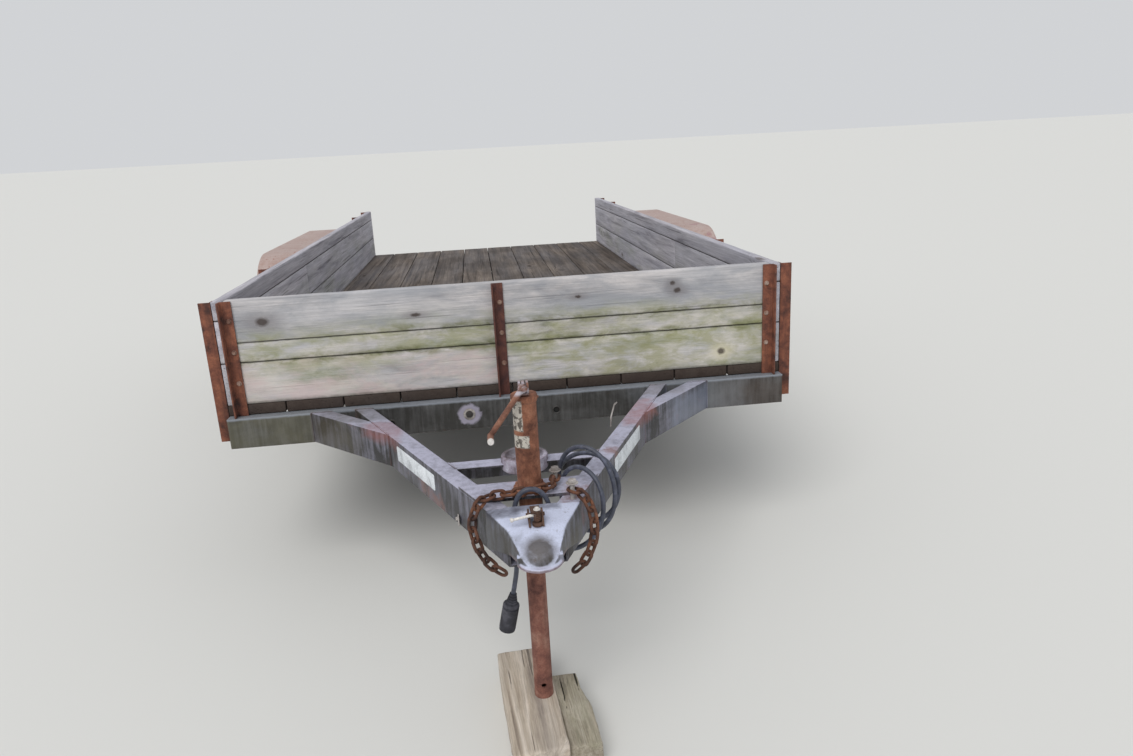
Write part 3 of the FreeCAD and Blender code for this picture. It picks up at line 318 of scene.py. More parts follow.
def bar(name, start, end, radius, sides=16, edge=0.0008, tip=None):
    """A round bar between two points with broken ends. A tip radius makes it taper."""
    start = Vector(start)
    end = Vector(end)
    run = end - start
    turned_to = run.to_track_quat("Z", "Y").to_euler()
    bpy.ops.mesh.primitive_cone_add(
        vertices=sides, radius1=radius, radius2=radius if tip is None else tip, depth=run.length,
        location=(start + end) / 2, rotation=turned_to)
    piece = started_piece(name)
    if edge:
        edit(piece)
        pick("FACE", lambda face: len(face.verts) > 4)
        round_edges(edge)
        leave_edit()
    return piece


def turned(name, outline, middle=(0, 0, 0), axis="X", steps=48, closed=True):
    """A shape spun about an axis. The outline lists (distance along the axis, radius) in millimetres."""
    piece = drawn(name, [(along / 1000, 0, radius / 1000) for along, radius in outline])
    pick_all()
    if closed:
        pick("VERT", lambda corner: len(corner.link_edges) == 1)
        bpy.ops.mesh.edge_face_add()
        pick_all()
    bpy.ops.mesh.spin(steps=steps, angle=math.tau, center=(0, 0, 0), axis=(1, 0, 0))
    leave_edit()
    outward(piece)
    lean = {"X": Matrix(), "Y": turning(90, "Z"), "Z": turning(-90, "Y")}[axis]
    return place(piece, moved(middle) @ lean)


def ball(radius, segments, rings, centre=(0, 0, 0), flat=(1, 1, 1)):
    """A round or flattened ball."""
    bpy.ops.mesh.primitive_uv_sphere_add(segments=segments, ring_count=rings, radius=radius,
                                         location=centre)
    bpy.context.object.scale = flat
    return started_piece()


def hoop(radius, wire, segments, wire_segments=10, centre=(0, 0, 0)):
    """A ring of round wire that lies flat."""
    bpy.ops.mesh.primitive_torus_add(major_radius=radius, minor_radius=wire, major_segments=segments,
                                     minor_segments=wire_segments, location=centre)
    return started_piece()


def roughened(piece, strength, size, seed=0.0):
    """Pushes the surface in and out by a cloud texture, as wear and weather do."""
    cloud = bpy.data.textures.new(piece.name + "_cloud", "CLOUDS")
    cloud.noise_scale = size
    cloud.noise_depth = 2
    anchor = place_holder(seed)
    modify(piece, "DISPLACE", texture=cloud, strength=strength, mid_level=0.5,
           texture_coords="OBJECT", texture_coords_object=anchor)
    bpy.data.objects.remove(anchor)
    bpy.data.textures.remove(cloud)
    return piece


def place_holder(seed):
    """An empty far away along X, which gives each cloud another part of the texture."""
    empty = bpy.data.objects.new("anchor", None)
    bpy.context.scene.collection.objects.link(empty)
    empty.location = (seed * 3.7, seed * 1.3, 0)
    bpy.context.view_layer.update()
    return empty


print("starting shapes ready")

# %% [markdown]
# ## Handing a piece over
# One function gives a piece its finish, hangs it on its body and hides the solids that it stands for. It
# also parks the piece if it was made in the trailer's frame, and counts it.

# %% Hand over a finished piece
piece_count = 0


def done(piece, finish, stands_for=(), soft=None, body="trailer", park=True):
    global piece_count
    if soft:
        smooth(piece, soft)
    if park:
        place(piece, PARKED)
    if finish is not None:
        piece.data.materials.clear()
        piece.data.materials.append(finish)
    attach(piece, body)
    if stands_for:
        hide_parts(*stands_for)
    piece_count += 1
    return piece


print("hand-over ready")

# %% [markdown]
# ## Tools for finishes
# A colour is written as the hex value that a screen shows, and one function turns it to the linear
# values that light works in. One more function adds a node with its options and links. Patterns are
# laid out on the piece's own coordinates, which a Mapping node turns into the trailer's frame, so grain
# runs along a plank although the bed slopes.

# %% Colours and nodes
def ink(code):
    """Linear colour of a hex value."""
    parts = [int(code[i:i + 2], 16) / 255 for i in (1, 3, 5)]
    linear = [p / 12.92 if p <= 0.04045 else ((p + 0.055) / 1.055) ** 2.4 for p in parts]
    return (*linear, 1)


def add(tree, kind, *values, stops=None, **settings):
    """Adds one node, of a kind that may be followed by its operation. Plain values fill its sockets in
    order; a name with a capital is a socket, a small one an option. A socket gets a value, or the output
    that it is linked to. Stops are a ramp's places and hex values."""
    kind, *operation = kind.split()
    made = tree.nodes.new("ShaderNode" + kind)
    if operation:
        made.operation = operation[0]
    sockets = dict(enumerate(values))
    for name, value in settings.items():
        if name[0].isupper():
            sockets[name.replace("_", " ")] = value
        else:
            setattr(made, name, value)
    for socket, value in sockets.items():
        if isinstance(value, bpy.types.NodeSocket):
            tree.links.new(value, made.inputs[socket])
        else:
            made.inputs[socket].default_value = value
    if stops:
        ramp = made.color_ramp
        while len(ramp.elements) < len(stops):
            ramp.elements.new(0.5)
        for element, (position, code) in zip(ramp.elements, stops):
            element.position = position
            element.color = ink(code)
    return made.outputs[0]


def started(name):
    """A new finish: its material, node tree and surface shader."""
    material = bpy.data.materials.new(name)
    material.use_nodes = True
    tree = material.node_tree
    return material, tree, tree.nodes["Principled BSDF"]


def along_trailer(tree):
    """The piece's coordinates in the trailer's frame, in metres."""
    here = tree.nodes.new("ShaderNodeTexCoord").outputs["Object"]
    return add(tree, "Mapping", here, Location=PARKED.inverted().translation, Rotation=(PITCH, 0, 0))


def inside_box(tree, low, high, ragged, soft, grain, oval=False, patchy=0):
    """1 inside a box or oval of the trailer's frame, ragged and patchy as asked, and 0 outside."""
    low = Vector(low)
    high = Vector(high)
    place = along_trailer(tree)
    if ragged:
        wander = add(tree, "TexNoise", place, Scale=grain, Detail=5, Roughness=0.6)
        wander = add(tree, "MapRange", wander, 0, 1, -ragged, ragged)
        place = add(tree, "VectorMath ADD", place, wander)
    place = add(tree, "VectorMath SUBTRACT", place, (low + high) / 2)
    if oval:
        far = add(tree, "VectorMath DIVIDE", place, (high - low) / 2)
        far = add(tree, "VectorMath LENGTH", far).node.outputs["Value"]
        inside = add(tree, "MapRange", far, 1 + soft, 1 - soft)
    else:
        place = add(tree, "VectorMath ABSOLUTE", place)
        place = add(tree, "VectorMath SUBTRACT", place, (high - low) / 2)
        split = add(tree, "SeparateXYZ", place).node.outputs
        most = add(tree, "Math MAXIMUM", split["X"], split["Y"])
        most = add(tree, "Math MAXIMUM", most, split["Z"])
        inside = add(tree, "MapRange", most, soft, -soft)
    if patchy:
        stretched = add(tree, "Mapping", along_trailer(tree), Scale=(patchy * 0.4, patchy * 0.4, patchy))
        clumps = add(tree, "TexNoise", stretched, Scale=1, Detail=7, Roughness=0.68, Distortion=0.4)
        clumps = add(tree, "MapRange", clumps, 0.42, 0.6)
        inside = add(tree, "Math MULTIPLY", inside, clumps)
    return inside


def over(material, mask, tone, share):
    """One more coat over a finish, where the mask is 1."""
    tree = material.node_tree
    shader = tree.nodes["Principled BSDF"]
    below = shader.inputs["Base Color"].links[0].from_socket
    mask = add(tree, "Math MULTIPLY", mask, share)
    tree.links.new(add(tree, "MixRGB", mask, below, ink(tone)), shader.inputs["Base Color"])


def coat(material, low, high, ragged, soft, grain, tone, share, oval=False, patchy=0):
    """A coat that belongs to one place."""
    mask = inside_box(material.node_tree, low, high, ragged, soft, grain, oval, patchy)
    over(material, mask, tone, share)


def dressed(tree, shader, base, rough, bump, depth, metallic=None):
    """Links the base colour, roughness and bump to the shader."""
    tree.links.new(base, shader.inputs["Base Color"])
    if isinstance(rough, bpy.types.NodeSocket):
        tree.links.new(rough, shader.inputs["Roughness"])
    else:
        shader.inputs["Roughness"].default_value = rough
    if metallic is not None:
        tree.links.new(metallic, shader.inputs["Metallic"])
    raised = add(tree, "Bump", Height=bump, Distance=depth, Strength=1)
    tree.links.new(raised, shader.inputs["Normal"])


print("finish tools ready")

# %% [markdown]
# ## Weathered timber
# The walls are two-inch pine planks, left unpainted for years. Sun turns pine silver grey, and the soft
# spring wood wears away between the harder lines, so the grain stands up as fine ridges. It splits
# along the grain in dark checks, darkens round its knots, and moss settles low down. Grain lines are 2 to
# 4 mm apart on the real wood. They are drawn a little coarser, so that they show from a few metres.

# %% Timber finish
def timber(name, grain, tones, knot_tone, moss=0.0, moss_tone="#7E8560", checks=0.45, damp=0.0,
           wear=0.0012, turn=0.0, figure_counts=(1.1, 38), ridge=(0.66, 1.12)):
    """Weathered wood. Grain is the axis it runs along; tones are dark, middle, light and cool."""
    material, tree, shader = started(name)
    place = along_trailer(tree)
    if turn:
        place = add(tree, "Mapping", place, Rotation=(0, 0, turn))
    island = tree.nodes.new("ShaderNodeNewGeometry").outputs["Random Per Island"]
    shift = add(tree, "VectorMath MULTIPLY", island, (7, 5, 3))
    place = add(tree, "VectorMath ADD", place, shift)
    lengthwise = "XY".index(grain)

    def counts(run, cross):
        values = [cross, cross, cross]
        values[lengthwise] = run
        return values
    # Knots: round the nearest cell's point the grain swells and darkens.
    cell = add(tree, "TexVoronoi", add(tree, "Mapping", place, Scale=counts(1.6, 5.2)), Scale=1,
               Randomness=0.9)
    knot = add(tree, "MapRange", cell, 0.03, 0.26, 1, 0, interpolation_type="SMOOTHERSTEP")
    swell = add(tree, "Math MULTIPLY", knot, 0.05)
    bent = add(tree, "VectorMath ADD", place, swell)
    figure = add(tree, "TexNoise", add(tree, "Mapping", bent, Scale=counts(*figure_counts)), Scale=1,
                 Detail=7, Roughness=0.62, Distortion=0.5)
    lines = add(tree, "TexNoise", add(tree, "Mapping", bent, Scale=counts(5, 260)), Scale=1, Detail=4,
                Roughness=0.7, Distortion=0.2)
    base = add(tree, "ValToRGB", figure, stops=[(0.3, tones[0]), (0.44, tones[1]), (0.62, tones[2]),
                                                (0.8, tones[1])])
    # Broad cool and warm fields, about half a metre across.
    field = add(tree, "TexNoise", add(tree, "Mapping", place, Scale=counts(1.3, 7)), Scale=1, Detail=3,
                Roughness=0.5)
    field = add(tree, "MapRange", field, 0.38, 0.64)
    base = add(tree, "MixRGB", field, base, add(tree, "MixRGB", 0.5, base, ink(tones[3])))
    fine = add(tree, "MapRange", lines, 0.32, 0.66, ridge[0], ridge[1])
    base = add(tree, "VectorMath MULTIPLY", base, fine)
    # One plank is a little lighter or darker than the next.
    own = add(tree, "MapRange", island, 0, 1, 0.86, 1.06)
    base = add(tree, "VectorMath MULTIPLY", base, own)
    heart = add(tree, "MapRange", cell, 0.03, 0.11, 0.85, 0, interpolation_type="SMOOTHSTEP")
    base = add(tree, "MixRGB", heart, base, ink(knot_tone))
    # Checks: long thin splits, dark inside.
    split = add(tree, "TexNoise", add(tree, "Mapping", bent, Scale=counts(1.7, 95)), Scale=1, Detail=2,
                Roughness=0.4, Distortion=0.1)
    split = add(tree, "MapRange", split, 0.665, 0.71, 0, checks, interpolation_type="SMOOTHSTEP")
    base = add(tree, "MixRGB", split, base, ink("#2B2624"))
    if moss:
        patch = add(tree, "TexNoise", add(tree, "Mapping", place, Scale=counts(2.2, 9)), Scale=1, Detail=5,
                    Roughness=0.65)
        patch = add(tree, "MapRange", patch, 0.47, 0.66, 0, moss)
        height = add(tree, "SeparateXYZ", along_trailer(tree)).node.outputs["Z"]
        low = add(tree, "MapRange", height, 0.34, 0.17)
        patch = add(tree, "Math MULTIPLY", patch, low)
        base = add(tree, "MixRGB", patch, base, ink(moss_tone))
    if damp:
        wet = add(tree, "TexNoise", add(tree, "Mapping", place, Scale=(3.4, 1.3, 3)), Scale=1, Detail=5,
                  Roughness=0.6)
        wet = add(tree, "MapRange", wet, 0.4, 0.6, 0, damp)
        base = add(tree, "MixRGB", wet, base, ink("#2E2622"))
    relief = add(tree, "Math ADD", lines, figure)
    relief = add(tree, "Math SUBTRACT", relief, split)
    rough = add(tree, "MapRange", figure, 0, 1, 0.95, 0.72)
    dressed(tree, shader, base, rough, relief, wear)
    shader.inputs["Specular IOR Level"].default_value = 0.25
    return material


front_timber = timber("silvered pine, front wall", "X",
                      ("#8E8A8C", "#B8B5B6", "#D2CDCC", "#B4B8C0"), "#57483F", moss=0.75, checks=0.35,
                      figure_counts=(3.2, 22), ridge=(0.8, 1.08))
side_timber = timber("silvered pine, side walls", "Y",
                     ("#86828A", "#B4B1B9", "#D2CFD6", "#BCBDC9"), "#54483F", moss=0.3,
                     figure_counts=(1.8, 30), ridge=(0.72, 1.1))
deck_timber = timber("damp pine deck", "Y",
                     ("#4A423D", "#6E635B", "#8A7E74", "#6A6A70"), "#332A25", damp=0.55, checks=0.7)
block_timber = timber("old fir block", "Y",
                      ("#8F8276", "#B9AC9C", "#DACFC2", "#B9B3AE"), "#5A4636", checks=0.55,
                      wear=0.0018, turn=math.radians(-4), ridge=(0.74, 1.1))
OVAL_FROM = 0.3   # a coat softer than this is an oval
# Coats that belong to one place: low corner, high corner, ragged, soft, grain, patchy, tone, share.
front_coats = [
    ((-0.92, 0, 0.252), (0.92, 0.1, 0.4), 0.02, 0.02, 9, 9, "#8D9199", 0.62),
    ((-0.92, 0, 0.01), (0.92, 0.1, 0.262), 0.02, 0.02, 9, 16, "#D3CDC4", 0.6),
    ((-0.92, 0, 0.14), (0.92, 0.1, 0.275), 0.04, 0.03, 8, 20, "#8E9064", 0.62),
    ((0.05, 0, 0.01), (0.98, 0.1, 0.2), 0.06, 0.03, 7, 24, "#8F8F62", 0.62),
    ((-0.92, 0, 0.02), (-0.02, 0.1, 0.168), 0.03, 0.03, 7, 14, "#C9B4B4", 0.6),
    ((-0.92, 0, 0.166), (0.92, 0.1, 0.194), 0.02, 0.01, 14, 26, "#5F6238", 0.75),
    ((-0.4, 0, 0.232), (0.92, 0.1, 0.262), 0.02, 0.01, 14, 26, "#686B40", 0.7),
    # Dark lines where the front rows meet: painted shade of the gaps between the planks.
    ((-0.92, 0, 0.1765), (0.92, 0.1, 0.1815), 0.002, 0.002, 30, 0, "#2C2823", 0.8),
    ((-0.92, 0, 0.2425), (0.92, 0.1, 0.2475), 0.002, 0.002, 30, 0, "#2C2823", 0.8),
    ((-0.92, 0, 0.03), (0.92, 0.1, 0.044), 0.006, 0.004, 40, 0, "#4E463E", 0.6),
]
# Knots of the photograph: centre along the wall, height, half length, half height
for x, z, long, high in ((-0.789, 0.309, 0.02, 0.013), (0.563, 0.341, 0.009, 0.007),
                         (0.579, 0.316, 0.012, 0.008), (0.731, 0.091, 0.013, 0.011),
                         (-0.3, 0.296, 0.016, 0.006), (0.24, 0.318, 0.01, 0.005)):
    front_coats += [
        ((x - 3 * long, -0.2, z - 2.4 * high), (x + 3 * long, 0.3, z + 2.4 * high), 0.006, 0.5, 40,
         0, "#D3CCB2" if z < 0.1 else "#7F7B7D", 0.6),
        ((x - long, -0.2, z - high), (x + long, 0.3, z + high), 0.004, 0.35, 90, 0, "#3E332E", 0.85),
    ]
for low, high, ragged, soft, grain, patchy, tone, share in front_coats:
    coat(front_timber, low, high, ragged, soft, grain, tone, share, soft >= OVAL_FROM, patchy)
# Dark lines where the side rows meet: painted shade of the gaps between the planks.
for low, high in ((0.1765, 0.1815), (0.3185, 0.3235)):
    coat(side_timber, (-1, 0, low), (1, 4.2, high), 0.002, 0.0015, 30, "#2C2823", 0.85)
coat(deck_timber, (-1, 0, -0.01), (1, 0.06, 0.06), 0.008, 0.006, 30, "#3C322D", 0.85)
slab_timber = timber("rotten fir slab", "Y", ("#857A6A", "#BCB09B", "#E0D6C4", "#BAB3A5"), "#4A3A2E",
                     moss=0.35, checks=1.0, damp=0.22, wear=0.004, turn=math.radians(-4),
                     figure_counts=(6, 30), ridge=(0.62, 1.15))
print("timber finishes:", front_timber.name, side_timber.name, deck_timber.name, block_timber.name)

# %% [markdown]
# ## Rust
# Bare mild steel outdoors goes from orange to a dark maroon brown, in a crust with pits about a
# millimetre deep and lighter blooms where water sits. Rust has no metal sheen: it is rough and matt.
# Rain draws darker and paler streaks straight down an upright face.

# %% Rust finish
def crust(name, dark, middle, light, streak=0.35, pits=0.0012, bare=0.0):
    """Rusted steel in three tones. Bare is how much worn metal shows on its edges."""
    material, tree, shader = started(name)
    place = along_trailer(tree)
    bloom = add(tree, "TexNoise", place, Scale=21, Detail=8, Roughness=0.62, Distortion=0.3)
    base = add(tree, "ValToRGB", bloom, stops=[(0.34, dark), (0.5, middle), (0.68, light)])
    speck = add(tree, "TexNoise", place, Scale=260, Detail=5, Roughness=0.7)
    grit = add(tree, "MapRange", speck, 0.3, 0.7, 0.72, 1.2)
    base = add(tree, "VectorMath MULTIPLY", base, grit)
    run = add(tree, "TexNoise", add(tree, "Mapping", place, Scale=(70, 70, 5)), Scale=1, Detail=4,
              Roughness=0.6)
    run = add(tree, "MapRange", run, 0.5, 0.7, 0, streak)
    base = add(tree, "MixRGB", run, base, ink(dark))
    relief = add(tree, "Math ADD", speck, bloom)
    rough = add(tree, "MapRange", bloom, 0, 1, 0.92, 0.7)
    metallic = None
    if bare:
        edge = edges_of(tree, 0.003)
        shown = add(tree, "Math MULTIPLY", edge, bare)
        base = add(tree, "MixRGB", shown, base, ink("#8E8580"))
        metallic = add(tree, "Math MULTIPLY", shown, 0.7)
        rough = add(tree, "MapRange", shown, 0, 1, 0.82, 0.45)
    dressed(tree, shader, base, rough, relief, pits, metallic)
    return material


def edges_of(tree, width):
    """1 on sharp edges and 0 on flats: where a rounded normal would lean away from the face."""
    rounded = add(tree, "Bevel", Radius=width, samples=6)
    own = tree.nodes.new("ShaderNodeNewGeometry").outputs["Normal"]
    match = add(tree, "VectorMath DOT_PRODUCT", rounded, own).node.outputs["Value"]
    return add(tree, "MapRange", match, 0.995, 0.86)


stake_rust = crust("rusted angle steel", "#3F2722", "#734434", "#935C44", streak=0.5, bare=0.15)
coat(stake_rust, (-0.07, -0.01, -0.01), (0.03, 0.05, 0.4), 0.006, 0.01, 60, "#45292A", 0.6)
jack_rust = crust("rusted jack tube", "#583427", "#8E5C45", "#AE7F66", streak=0.6, bare=0.15)
# Two blank labels on the jack's tube have mostly flaked away: pale paper with dark scabs.
for low, high in (((-0.036, -0.84, 0.163), (-0.008, -0.78, 0.238)),
                  ((-0.036, -0.84, 0.121), (0.005, -0.8, 0.151))):
    tree = jack_rust.node_tree
    coat(jack_rust, low, high, 0.0035, 0.0012, 90, "#C6C2B8", 0.9)
    scab = add(tree, "TexNoise", along_trailer(tree), Scale=95, Detail=4)
    scab = add(tree, "MapRange", scab, 0.5, 0.56)
    scab = add(tree, "Math MULTIPLY", scab, inside_box(tree, low, high, 0.0035, 0.0012, 90))
    over(jack_rust, scab, "#3A322D", 0.85)
ram_rust = crust("rusted ram tube", "#5A3832", "#845649", "#A07A6A", streak=0.4)
chain_rust = crust("rusted chain", "#32201B", "#5B3A2B", "#8C5A3E", streak=0.1, pits=0.0006)
wall_bolt_rust = crust("rusty wall bolt", "#5B3D33", "#8A6A5C", "#B3A297", streak=0.2, pits=0.0004)
dark_rust = crust("dark spring steel rust", "#2A1E1A", "#4C372E", "#6E5040", streak=0.2)
bolt_steel = crust("dull zinc bolt", "#6A6462", "#9A9490", "#C4BFBC", streak=0.2, pits=0.0004, bare=0.4)
crank_rust = crust("rusted crank rod", "#4A302A", "#7E5545", "#A0745E", streak=0.2, bare=0.3)
coat(crank_rust, (-0.03, -0.86, 0.258), (0.03, -0.78, 0.3), 0.006, 0.004, 60, "#C4C0CA", 0.8, patchy=50)
boss_metal = crust("worn boss steel", "#5C4B4A", "#A29AAA", "#CFCEDC", streak=0.35, pits=0.0007, bare=0.5)
# Painted shade over the boss's rear half, the side turned away from the light.
coat(boss_metal, (-0.08, -0.585, -0.03), (0.08, -0.5, 0.06), 0.02, 0.02, 60, "#4D4749", 0.75)
pale_zinc = crust("bright worn zinc", "#B8B2AE", "#DAD6D2", "#EDEBE8", streak=0.1, pits=0.0003, bare=0.5)
strip_white = crust("faded white strip", "#B9BDC2", "#DCE1E6", "#E9EDF2", streak=0.25, pits=0.0001)
# A near-black finish for discs set behind the crossmember's open holes: painted shadow inside the holes.
painted_hole_shadow = crust("soot in a hole", "#0A0A0A", "#111110", "#1B1917", streak=0)
plug_black = crust("dusty black moulding", "#1F1F24", "#33333B", "#55555E", streak=0.1, pits=0.0003)
print("rust finishes ready")

# %% [markdown]
# ## Old black paint
# The frame was painted black once. Sun turns such paint chalky, and faces that look up go lavender grey,
# partly by chalking and partly by painted sky light. Upright faces keep more black and carry pale and brown
# streaks, and the sharp edges have rusted through.
# So the finish looks at which way a face points, and finds the edges with a rounded normal.

# %% Chalky paint finish with painted sky light
def chalked_and_sky_lit(name, paint, chalk_and_sky_tone, rust, top=0.8, side=0.25, worn=0.8, patches=0.25, primer=None):
    """Faded paint on steel. Top and side are how far the pale tone covers faces that look up or sideways;
    on faces that look up it is chalking and painted sky light together.
    """
    material, tree, shader = started(name)
    coordinates = tree.nodes.new("ShaderNodeTexCoord")
    # Faces that look up are paled: partly chalking, partly painted sky light.
    up = add(tree, "SeparateXYZ", coordinates.outputs["Normal"]).node.outputs["Z"]
    chalk_and_light_by_facing = add(tree, "MapRange", up, 0.35, 0.95, side, top, interpolation_type="SMOOTHSTEP")
    place = along_trailer(tree)
    cloud = add(tree, "TexNoise", place, Scale=9, Detail=9, Roughness=0.66, Distortion=0.4)
    streak = add(tree, "TexNoise", add(tree, "Mapping", place, Scale=(60, 60, 4)), Scale=1, Detail=6,
                 Roughness=0.65)
    veil = add(tree, "Math ADD", cloud, streak)
    veil = add(tree, "MapRange", veil, 0.72, 1.22, -0.25, 0.45)
    veil = add(tree, "Math ADD", chalk_and_light_by_facing, veil)
    veil = add(tree, "Clamp", veil)
    base = add(tree, "MixRGB", veil, ink(paint), ink(chalk_and_sky_tone))
    if primer:
        under = add(tree, "TexNoise", place, Scale=4.5, Detail=6, Roughness=0.7)
        under = add(tree, "MapRange", under, 0.58, 0.66, 0, 0.7)
        base = add(tree, "MixRGB", under, base, ink(primer))
    # Rust on edges, in patches and in streaks below them.
    spots = add(tree, "TexNoise", place, Scale=34, Detail=7, Roughness=0.7)
    edge = add(tree, "Math MULTIPLY", edges_of(tree, 0.005), spots)
    edge = add(tree, "MapRange", edge, 0.28, 0.52, 0, worn)
    patch = add(tree, "MapRange", spots, 0.6, 0.68, 0, patches)
    run = add(tree, "MapRange", streak, 0.6, 0.74, 0, patches)
    rusty = add(tree, "Math MAXIMUM", edge, patch)
    rusty = add(tree, "Math MAXIMUM", rusty, run)
    base = add(tree, "MixRGB", rusty, base, ink(rust))
    grain = add(tree, "TexNoise", place, Scale=300, Detail=4, Roughness=0.7)
    shade = add(tree, "MapRange", grain, 0.3, 0.7, 0.86, 1.1)
    base = add(tree, "VectorMath MULTIPLY", base, shade)
    relief = add(tree, "Math ADD", grain, cloud)
    rough = add(tree, "MapRange", veil, 0, 1, 0.42, 0.78)
    rough = add(tree, "Math ADD", rough, add(tree, "Math MULTIPLY", rusty, 0.25))
    dressed(tree, shader, base, rough, relief, 0.0006)
    return material


frame_paint = chalked_and_sky_lit("chalked black frame paint", "#29282B", "#AFAFC2", "#5A3D30",
                      top=0.74, side=-0.03, primer="#7E5B55")
rail_paint = chalked_and_sky_lit("chalked black rail paint", "#2E2D2B", "#7C7D7F", "#4A3A2E", top=0.5, side=-0.02,
                     patches=0.45)
coupler_paint = chalked_and_sky_lit("faded coupler paint", "#454446", "#C2C8DE", "#56402F", top=0.95, side=-0.02,
                        worn=0.75, patches=0.55)
fender_paint = chalked_and_sky_lit("pink-rusted fender paint", "#9C7A6E", "#BDB0AC", "#874838", top=0.35, side=0.3,
                       worn=0.85, patches=0.95, primer="#93606A")
coats = [
    # The tongue's tops: moss where they meet the bed, then red primer.
    (frame_paint, (-0.56, -0.13, -0.004), (-0.4, 0.02, 0.004), 0.03, 0.02, 20, "#55544A", 0.7),
    (frame_paint, (0.4, -0.1, -0.004), (0.56, 0.02, 0.004), 0.03, 0.02, 20, "#6B645F", 0.65),
    (frame_paint, (-0.47, -0.36, -0.02), (-0.36, -0.17, 0.004), 0.03, 0.02, 20, "#8A4C45", 0.65),
    (frame_paint, (0.32, -0.38, -0.02), (0.43, -0.16, 0.004), 0.03, 0.02, 20, "#9C5E58", 0.65),
    (frame_paint, (-0.75, -0.4, -0.11), (-0.5, 0.02, -0.006), 0.08, 0.04, 9, "#4A4436", 0.6),
    # The right brace is the palest, blue grey with streaks.
    (frame_paint, (0.5, -0.3, -0.11), (0.78, 0.02, -0.004), 0.03, 0.02, 20, "#868EA0", 0.5),
    # The front crossmember: a painted highlight along its top edge, a mossy left end and a darker middle.
    (rail_paint, (-0.95, -0.02, -0.11), (-0.66, 0.06, 0.004), 0.09, 0.05, 8, "#6A6753", 0.6),
    (rail_paint, (-0.5, -0.02, -0.11), (0.4, 0.06, -0.01), 0.09, 0.05, 8, "#232120", 0.6),
    (rail_paint, (0.72, -0.02, -0.11), (0.96, 0.06, -0.01), 0.05, 0.04, 9, "#4A3C33", 0.55),
    (rail_paint, (0.42, -0.02, -0.11), (0.8, 0.06, -0.01), 0.09, 0.04, 9, "#7C8086", 0.5),
    # A painted highlight along the front crossmember's top edge.
    (rail_paint, (-0.95, -0.02, -0.006), (0.95, 0.06, 0.002), 0.003, 0.003, 50, "#8C929C", 0.75),
    # The coupler: a brown green dome, a pinkish lip and darker sides, and on the top's rear edge painted
    # shadows of the chains and the lead.
    (coupler_paint, (-0.034, -1.1, -0.09), (0.034, -1.034, 0.05), 0.01, 0.35, 60, "#4C443B", 0.88),
    (coupler_paint, (-0.07, -1.14, -0.062), (0.07, -1.02, -0.048), 0.003, 0.004, 60, "#A48A93", 0.55),
    (coupler_paint, (-0.13, -1.05, -0.11), (-0.045, -0.86, -0.012), 0.02, 0.014, 25, "#3D3B34", 0.6),
    # Painted shadows of the left chain and of the lead on the coupler top's rear edge.
    (coupler_paint, (-0.14, -0.946, -0.014), (-0.036, -0.88, 0.012), 0.02, 0.012, 30, "#34333C", 0.85),
    (coupler_paint, (-0.05, -0.928, -0.01), (0.06, -0.88, 0.012), 0.014, 0.008, 40, "#4B4A56", 0.7),
    (coupler_paint, (0.05, -1.05, -0.11), (0.13, -0.86, -0.04), 0.03, 0.02, 25, "#5B5648", 0.5),
]
for finish, low, high, ragged, soft, grain, tone, share in coats:
    coat(finish, low, high, ragged, soft, grain, tone, share, soft >= OVAL_FROM)
axle_paint = chalked_and_sky_lit("dull axle paint", "#262527", "#55534F", "#4A352B", top=0.3, side=0.1)
rim_paint = chalked_and_sky_lit("dull white wheel paint", "#B4B2AC", "#CFCDC8", "#6F4733", top=0.4, side=0.3,
                    worn=0.7, patches=0.5)
# The flaked ring round the crossmember's bolt, and painted shade in the hollow of its head.
coat(rail_paint, (-0.19, -0.1, -0.086), (-0.114, 0.1, -0.016), 0.012, 0.12, 60, "#A5A0B2", 0.75, oval=True)
coat(bolt_steel, (-0.1645, -0.1, -0.0625), (-0.1395, 0.1, -0.0375), 0.002, 0.12, 90, "#231F1D", 0.9,
     oval=True)
print("paint finishes ready")

# %% [markdown]
# ## Planks and boards
# A sawn board is a long box, but an old one is never flat or sharp: its edges are rounded by wear and
# its face waves a little. A grid gives enough corners to do that. It is extruded to the board's
# thickness, its four long edges are rounded and a cloud texture moves the surface by a millimetre.

# %% One board, lying along X
def board(name, length, width, thickness, seed, cell=0.04, worn=0.0035, wave=0.0022, cells_across=6):
    """A board centred on the origin, its thickness upwards from z = 0."""
    bpy.ops.mesh.primitive_grid_add(x_subdivisions=max(4, round(length / cell)),
                                    y_subdivisions=cells_across, size=1)
    bpy.context.object.scale = (length, width, 1)
    piece = started_piece(name)
    edit(piece)
    pick_all()
    pull((0, 0, thickness))
    leave_edit()
    outward(piece)
    edit(piece)
    pick("EDGE", is_sharp)
    round_edges(worn)
    leave_edit()
    roughened(piece, wave, 0.09, seed)
    return smooth(piece, 50)


def upright(length_axis):
    """Turns a board on edge: its width stands up and its thickness points rearwards or outwards."""
    if length_axis == "X":
        return turning(90, "X")
    return turning(90, "Z") @ turning(90, "X")


DECK_TOP = 0.038
WALL_FRONT = 0.033
HALF_WIDTH = 0.94
PLANK_THICK = 0.038
BED_REAR = 4.115
SLIM = 0.0012
ROW_GROWS = 0.0012   # planks have swollen towards each other, so no light shows between the rows
